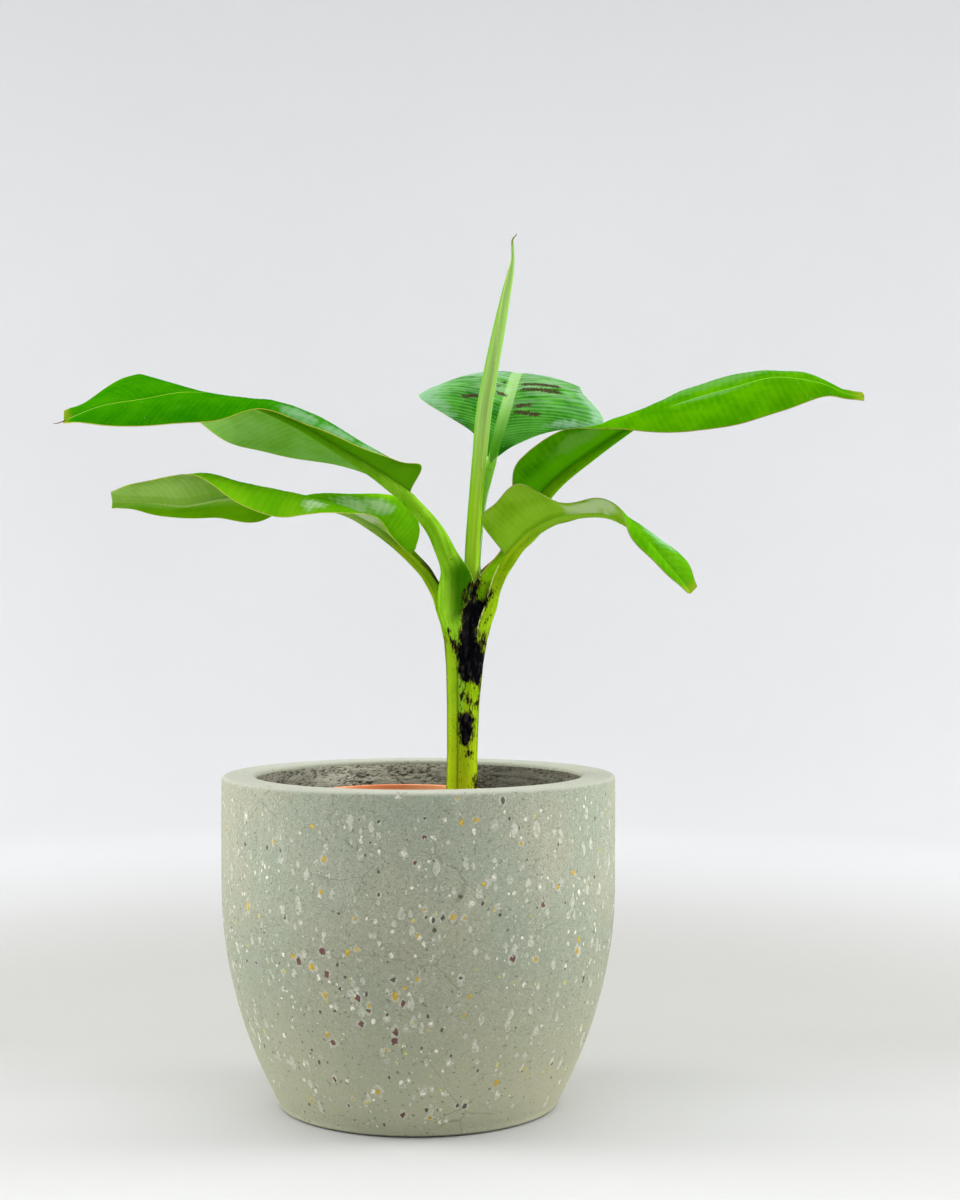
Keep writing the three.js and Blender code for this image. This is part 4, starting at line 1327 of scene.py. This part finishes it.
# Marks on the stem, as outlines in x and height seen from the near side: black blotches, patches of
# specks and streaks about them, brown hems down both sides, and the deep green front of the
# largest stalk.
STEM_MARKS = {
    "blotch": [
        [
            (54, 483), (56, 478), (50.5, 461), (60, 461), (66, 471), (68, 469), (62, 458), (57, 449),
            (53, 435), (53, 425), (57, 421), (60, 412), (61, 404), (59, 393), (56, 382), (51, 386),
            (47, 388), (42, 388), (38, 392), (36.5, 402), (35.5, 415), (38.5, 425), (38, 433),
            (42, 440), (40.5, 449), (39, 451), (47, 462), (49, 472),
        ],
        [(37.5, 357), (45, 358), (51, 351), (50, 340), (46, 328), (40, 330), (37, 343)],
        [(45, 322), (47, 322), (47, 319.5), (45, 319.5)],
        [(51, 300), (53, 300), (53, 270), (51, 270)],
    ],
    "speckled": [
        [(25.5, 437), (36, 440), (39, 422), (35, 412), (28, 414), (25.5, 425)],
        [
            (55, 425), (60, 441), (66, 451), (66, 436), (62, 420), (61, 402), (55, 379),
            (51, 379), (51, 407),
        ],
        [(36, 386), (57, 382), (56, 356), (47, 356), (37, 366)],
        [(38, 470), (56, 486), (60, 470), (50, 440), (40, 440)],
    ],
    "hem": [
        [(22, 430), (25.4, 428), (26.2, 403), (27, 366), (27, 322), (26.4, 285), (22, 285)],
        [
            (53.4, 272), (53.2, 322), (54.8, 366), (58.4, 403), (61, 425), (68, 425), (64, 403),
            (60, 366), (58, 322), (58, 272),
        ],
    ],
    "shade": [[(30, 487), (39, 498), (54, 488), (49, 468), (42, 449), (32, 446)]],
}


def distance_to_outline(x, z, outline):
    """Signed distance to a closed outline, under zero inside it."""
    corners = np.array(outline, float)
    after = np.roll(corners, -1, axis=0)
    nearest = np.full(x.shape, 1e9)
    inside = np.zeros(x.shape, bool)
    for (ax, az), (bx, bz) in zip(corners, after):
        dx, dz = bx - ax, bz - az
        share = np.clip(((x - ax) * dx + (z - az) * dz) / (dx * dx + dz * dz), 0, 1)
        nearest = np.minimum(nearest, np.hypot(x - ax - share * dx, z - az - share * dz))
        crosses = (az > z) != (bz > z)
        slope = ax + (z - az) * dx / (dz if abs(dz) > 1e-9 else 1e-9)
        inside ^= crosses & (x < slope)
    return np.where(inside, -nearest, nearest)


def outline_field(outlines, points):
    """How far each point is from the nearest outline, in millimetres, under zero inside one."""
    x, y, z = points[..., 0], points[..., 1], points[..., 2]
    field = np.full(x.shape, 20.0)
    for outline in outlines:
        near = distance_to_outline(x, z, outline) + np.maximum(y - 6, 0) * 1.2
        # The far side carries the same marks, turned round and a little lower.
        turned = [(86 - corner_x, corner_z - 24) for corner_x, corner_z in outline]
        far = distance_to_outline(x, z, turned) + np.maximum(6 - y, 0) * 1.2
        field = np.minimum(field, np.minimum(near, far))
    return field


def blotched(look, body):
    """Black blotches with a brown fringe, and streaks and specks about them, over a body colour."""
    blotch = look.value("blotch")
    ragged = look.swing(look.noise(5, 4, roughness=0.75), 6.5)
    frayed = look.swing(look.noise(1.7, 3, look.stretched((1, 1, 0.3))), 10.0)
    field = look.plus(blotch, look.plus(ragged, frayed))
    patchy = look.ramp(look.noise(6, 2, look.stretched((1, 1, 0.5))), 0.38, 0.62)
    dense = look.times(look.ramp(look.value("speckled"), 3, -3), look.times(patchy, 0.22))
    specks = look.plus(look.noise(1.5, 4, look.stretched((1, 1, 0.3)), 0.7), dense)
    marks = look.plus(specks, look.times(look.ramp(blotch, 9, 0), 0.07))
    fringed = look.layered(body, [
        (look.ramp(marks, 0.6, 0.68), 0.8, (74, 60, 18)),
        (look.ramp(marks, 0.66, 0.72), 1, (30, 22, 18)),
        (look.ramp(field, 2.4, 0.3), 0.7, (70, 60, 16)),
    ])
    crust = look.noise(3, 3, look.stretched((1, 1, 0.4)))
    black = look.blend(crust, 0.5, 0.72, (9, 10, 14), (52, 46, 44))
    return look.mix(look.ramp(field, 0.4, -0.6), fringed, black)


def stalk_look(name, leaf):
    look = Look(name + "_stalk", 0.42, 0.0)
    pale, deep, edge_shade, inside_shade = leaf["stalk_shades"]
    fibres = look.noise(3.2, 3, look.unrolled("round", "along", 0.04))
    body = look.blend(look.plus(fibres, look.noise(22, 2)), 0.7, 1.3, deep, pale)
    uneven = look.plus(look.value("edge"), look.times(look.noise(2.5, 3), -1.6))
    rim = look.times(look.ramp(uneven, 0.7, -0.3), look.value("loose"))
    hem = look.plus(look.value("hem"), look.times(look.noise(2.5, 3), 3.0))
    dots = look.cells(3.4, look.stretched((1, 1, 0.6)))["Distance"]
    tone = look.layered(body, [
        (look.ramp(look.value("shade"), 9, -6), 0.9, (36, 100, 0)),
        # Paler low on the stem: painted light from the planter's pale inside.
        (look.value("foot"), 0.38, (208, 226, 34)),
        (look.value("blade"), 1, leaf["under"][1]),
        (look.value("inside"), 1, inside_shade),
        (rim, 1, edge_shade),
        (look.ramp(hem, 2.2, 0.6), 0.7, (82, 76, 30)),
        (look.ramp(dots, 0.13, 0.07), 0.35, (70, 84, 10)),
        (look.value("dry"), 1, (112, 76, 34)),
    ])
    look.paint(blotched(look, tone))
    look.rough(fibres, 0.34, 0.52)
    look.relief(look.plus(fibres, look.times(look.noise(1.2, 2), 0.3)), 0.22, 0.6)
    return look.material


def core_look():
    look = Look("stem_heart", 0.55, 0.1)
    strands = look.noise(3, 3, look.stretched((1, 1, 0.06)))
    look.paint(blotched(look, look.blend(strands, 0.35, 0.65, (124, 140, 30), (160, 176, 60))))
    look.relief(strands, 0.25, 0.6)
    return look.material


def make_core():
    """The stem's heart inside the sheaths, up to the hollow between the stalks."""
    sides, shaft_rows = 48, 30
    z = np.concatenate([np.linspace(STEM_FOOT, 436, shaft_rows), [444, 451, 457, 461, 463]])
    inset = np.concatenate([np.full(shaft_rows, 4.2), [5.4, 8, 12, 16, 21]])
    degrees = np.repeat(np.linspace(0, 360, sides, endpoint=False)[None], len(z), 0)
    points = oval_points(z, degrees, inset)
    faces = capped_faces(len(z), sides)
    values = {key: outline_field(STEM_MARKS[key], points) for key in ("blotch", "speckled")}
    make_piece("stem_core", points, faces, [core_look()], ["trunk"], (), values)


def spear_look():
    look = Look("spear_green", 0.42, 0.0)
    strands = look.noise(2.6, 3, look.unrolled("round", "height", 0.03))
    fine = look.times(look.wave(look.value("turn"), 31), 0.25)
    tone = look.plus(look.times(look.ramp(strands, 0.35, 0.65), 0.75), fine)
    height = look.value("height")
    low = look.mix(tone, colour(148, 200, 22), colour(174, 218, 60))
    high = look.mix(tone, colour(144, 188, 84), colour(162, 200, 112))
    look.paint(look.mix(look.ramp(height, 540, 640), low, high), [
        (look.ramp(look.value("side"), -0.45, -0.95), 0.75, (104, 160, 34)),
        (look.ramp(look.value("seam"), 0.8, 0.3), 0.8, (214, 228, 120)),
        (look.ramp(height, 786, 796), 0.8, (120, 110, 50)),
    ])
    look.relief(tone, 0.1, 0.5)
    return look.material


def make_spear():
    """The rolled leaf, as a tube that steps in at two long seams where its edges overlap."""
    sides, rows = 72, 260
    share = np.linspace(0, 1, rows)
    line = smooth_curve(SPEAR_CENTRE, share)
    along = tangents(SPEAR_CENTRE, share)
    radius = smooth_curve(np.array(SPEAR_RADIUS)[:, None], share)
    across = unit(np.cross([0, 1.0, 0], along))
    deep = np.cross(along, across)
    angle = angles_round(sides)[None]
    seam_at = np.radians(np.interp(share, SPEAR_SEAM_SHARES, SPEAR_SEAM_DEGREES))[:, None]
    past, second = (
        np.mod(angle - seam_at - math.radians(turn), 2 * math.pi) / (2 * math.pi)
        for turn in (0, SPEAR_SECOND_SEAM)
    )
    step = np.minimum(0.14 * radius, 0.9)
    size = radius - step * past - 0.5 * step * second + 0.03 * np.sin(angle * 26)
    outward = np.cos(angle)[..., None] * across[:, None] + np.sin(angle)[..., None] * deep[:, None]
    ring = line[:, None] + size[..., None] * outward
    values = {
        "turn": past,
        "seam": np.minimum(past, second) * 2 * math.pi * radius,
        "height": ring[..., 2],
        "side": np.cos(angle),
        "round": past * SPEAR_GIRTH,
    }
    faces = capped_faces(rows, sides)
    make_piece("spear_roll", ring, faces, [spear_look()], ["spear"], (), values)


# Stage, lights and camera.


def paper_look():
    look = Look("studio_paper", 0.9, 0.1)
    # The paper is greyer round the plant, where the softboxes' light pools, paler far off and towards
    # the camera, where less light falls, and a little greyer high up the wall: painted shade and light
    # that even out the light on it.
    cloud = look.mix(look.noise(700, 2), colour(236, 237, 238), colour(243, 244, 245))
    far = look.ramp(look.value("ring"), 650, 2200)
    near = look.times(look.ramp(look.value("depth"), 300, -80), 0.4)
    paper = look.mix(look.maths("MAXIMUM", far, near), colour(180, 180, 176), cloud)
    look.paint(paper, [(look.ramp(look.value("rise"), 900, 2600), 1, (230, 231, 232))])
    return look.material


def make_stage():
    """A round paper floor that curves up into a wall all round."""
    floor_rings = np.array([[r, 0.0] for r in [1, *range(60, 480, 30), *range(500, 2200, 100)]])
    outline = np.vstack([floor_rings, arc_points(2200, 900, 900, -90, 0, 24), [[3100, 3600]]])
    sides = 128
    points = turned_points(outline, sides)
    faces = grid_faces(len(outline), sides, closed=True).tolist() + [list(range(sides))[::-1]]
    values = {"ring": outline[:, :1], "rise": outline[:, 1:], "depth": points[..., 1]}
    add_mesh("studio_floor", points, faces, [paper_look()], values)


def add_softbox(name, place, target, width, height, power, spread=180):
    light = bpy.data.lights.new(name, "AREA")
    light.shape = "RECTANGLE"
    light.size, light.size_y = width, height
    light.energy = power
    light.spread = math.radians(spread)
    lamp = bpy.data.objects.new(name, light)
    lamp.location = place
    lamp.rotation_euler = (Vector(target) - Vector(place)).to_track_quat("-Z", "Y").to_euler()
    lamp.visible_camera = False
    bpy.context.scene.collection.objects.link(lamp)


# Powers are in watts. The side softboxes carry grids, which keep their light off the floor.
SIDE_SPREAD = 80
SIDE_POWER, TOP_POWER = 17, 26
AIR_STRENGTH = 0.85


def make_lights():
    for name, side in (("softbox_left", -1), ("softbox_right", 1)):
        place = (side * 2.85, 0.3, 1.3)
        add_softbox(name, place, (0, 0, 0.4), 1.8, 1.3, SIDE_POWER, SIDE_SPREAD)
    add_softbox("softbox_top", (0, 0.2, 2.7), (0, 0.1, 0.3), 2.6, 2.2, TOP_POWER)
    world = bpy.data.worlds.new("studio_air")
    world.use_nodes = True
    air = world.node_tree.nodes["Background"].inputs
    air["Color"].default_value = (1, 0.99, 1, 1)
    air["Strength"].default_value = AIR_STRENGTH
    bpy.context.scene.world = world


def make_camera():
    data = bpy.data.cameras.new("camera")
    data.sensor_width = SENSOR_WIDTH
    data.lens = SENSOR_WIDTH * PIXELS_PER_SLOPE / PHOTO_HEIGHT
    camera = bpy.data.objects.new("camera", data)
    camera.location = (CAMERA_X * MM, CAMERA_Y * MM, CAMERA_Z * MM)
    camera.rotation_euler = (math.radians(90 - CAMERA_DROP), 0, 0)
    bpy.context.scene.collection.objects.link(camera)
    bpy.context.scene.camera = camera


def main():
    make_planter()
    make_chips()
    mix = mix_look()
    bed = (0, PLANTER_RADIUS - PLANTER_WALL - MIX_GAP)
    recess = (NURSERY_X, float(nursery_radius(BED_TOP)) + MIX_GAP / 2)
    make_mix("bed_surface", bed, recess, BED_TOP, BED_SKIRT_FOOT, mix, "planter_bed")
    soil = (NURSERY_X, float(nursery_radius(SOIL_TOP)) - NURSERY_WALL - MIX_GAP / 2)
    middle = (NURSERY_X, 0.5)
    make_mix("soil_surface", soil, middle, SOIL_TOP, SOIL_SKIRT_FOOT, mix, "potting_soil")
    make_crumbs(mix)
    make_nursery_pot()
    for name, leaf in LEAVES.items():
        make_blade(name, leaf)
        make_stalk(name, leaf)
    make_core()
    make_spear()
    make_stage()
    make_lights()
    make_camera()
    bpy.context.scene.view_settings.view_transform = "Standard"


main()
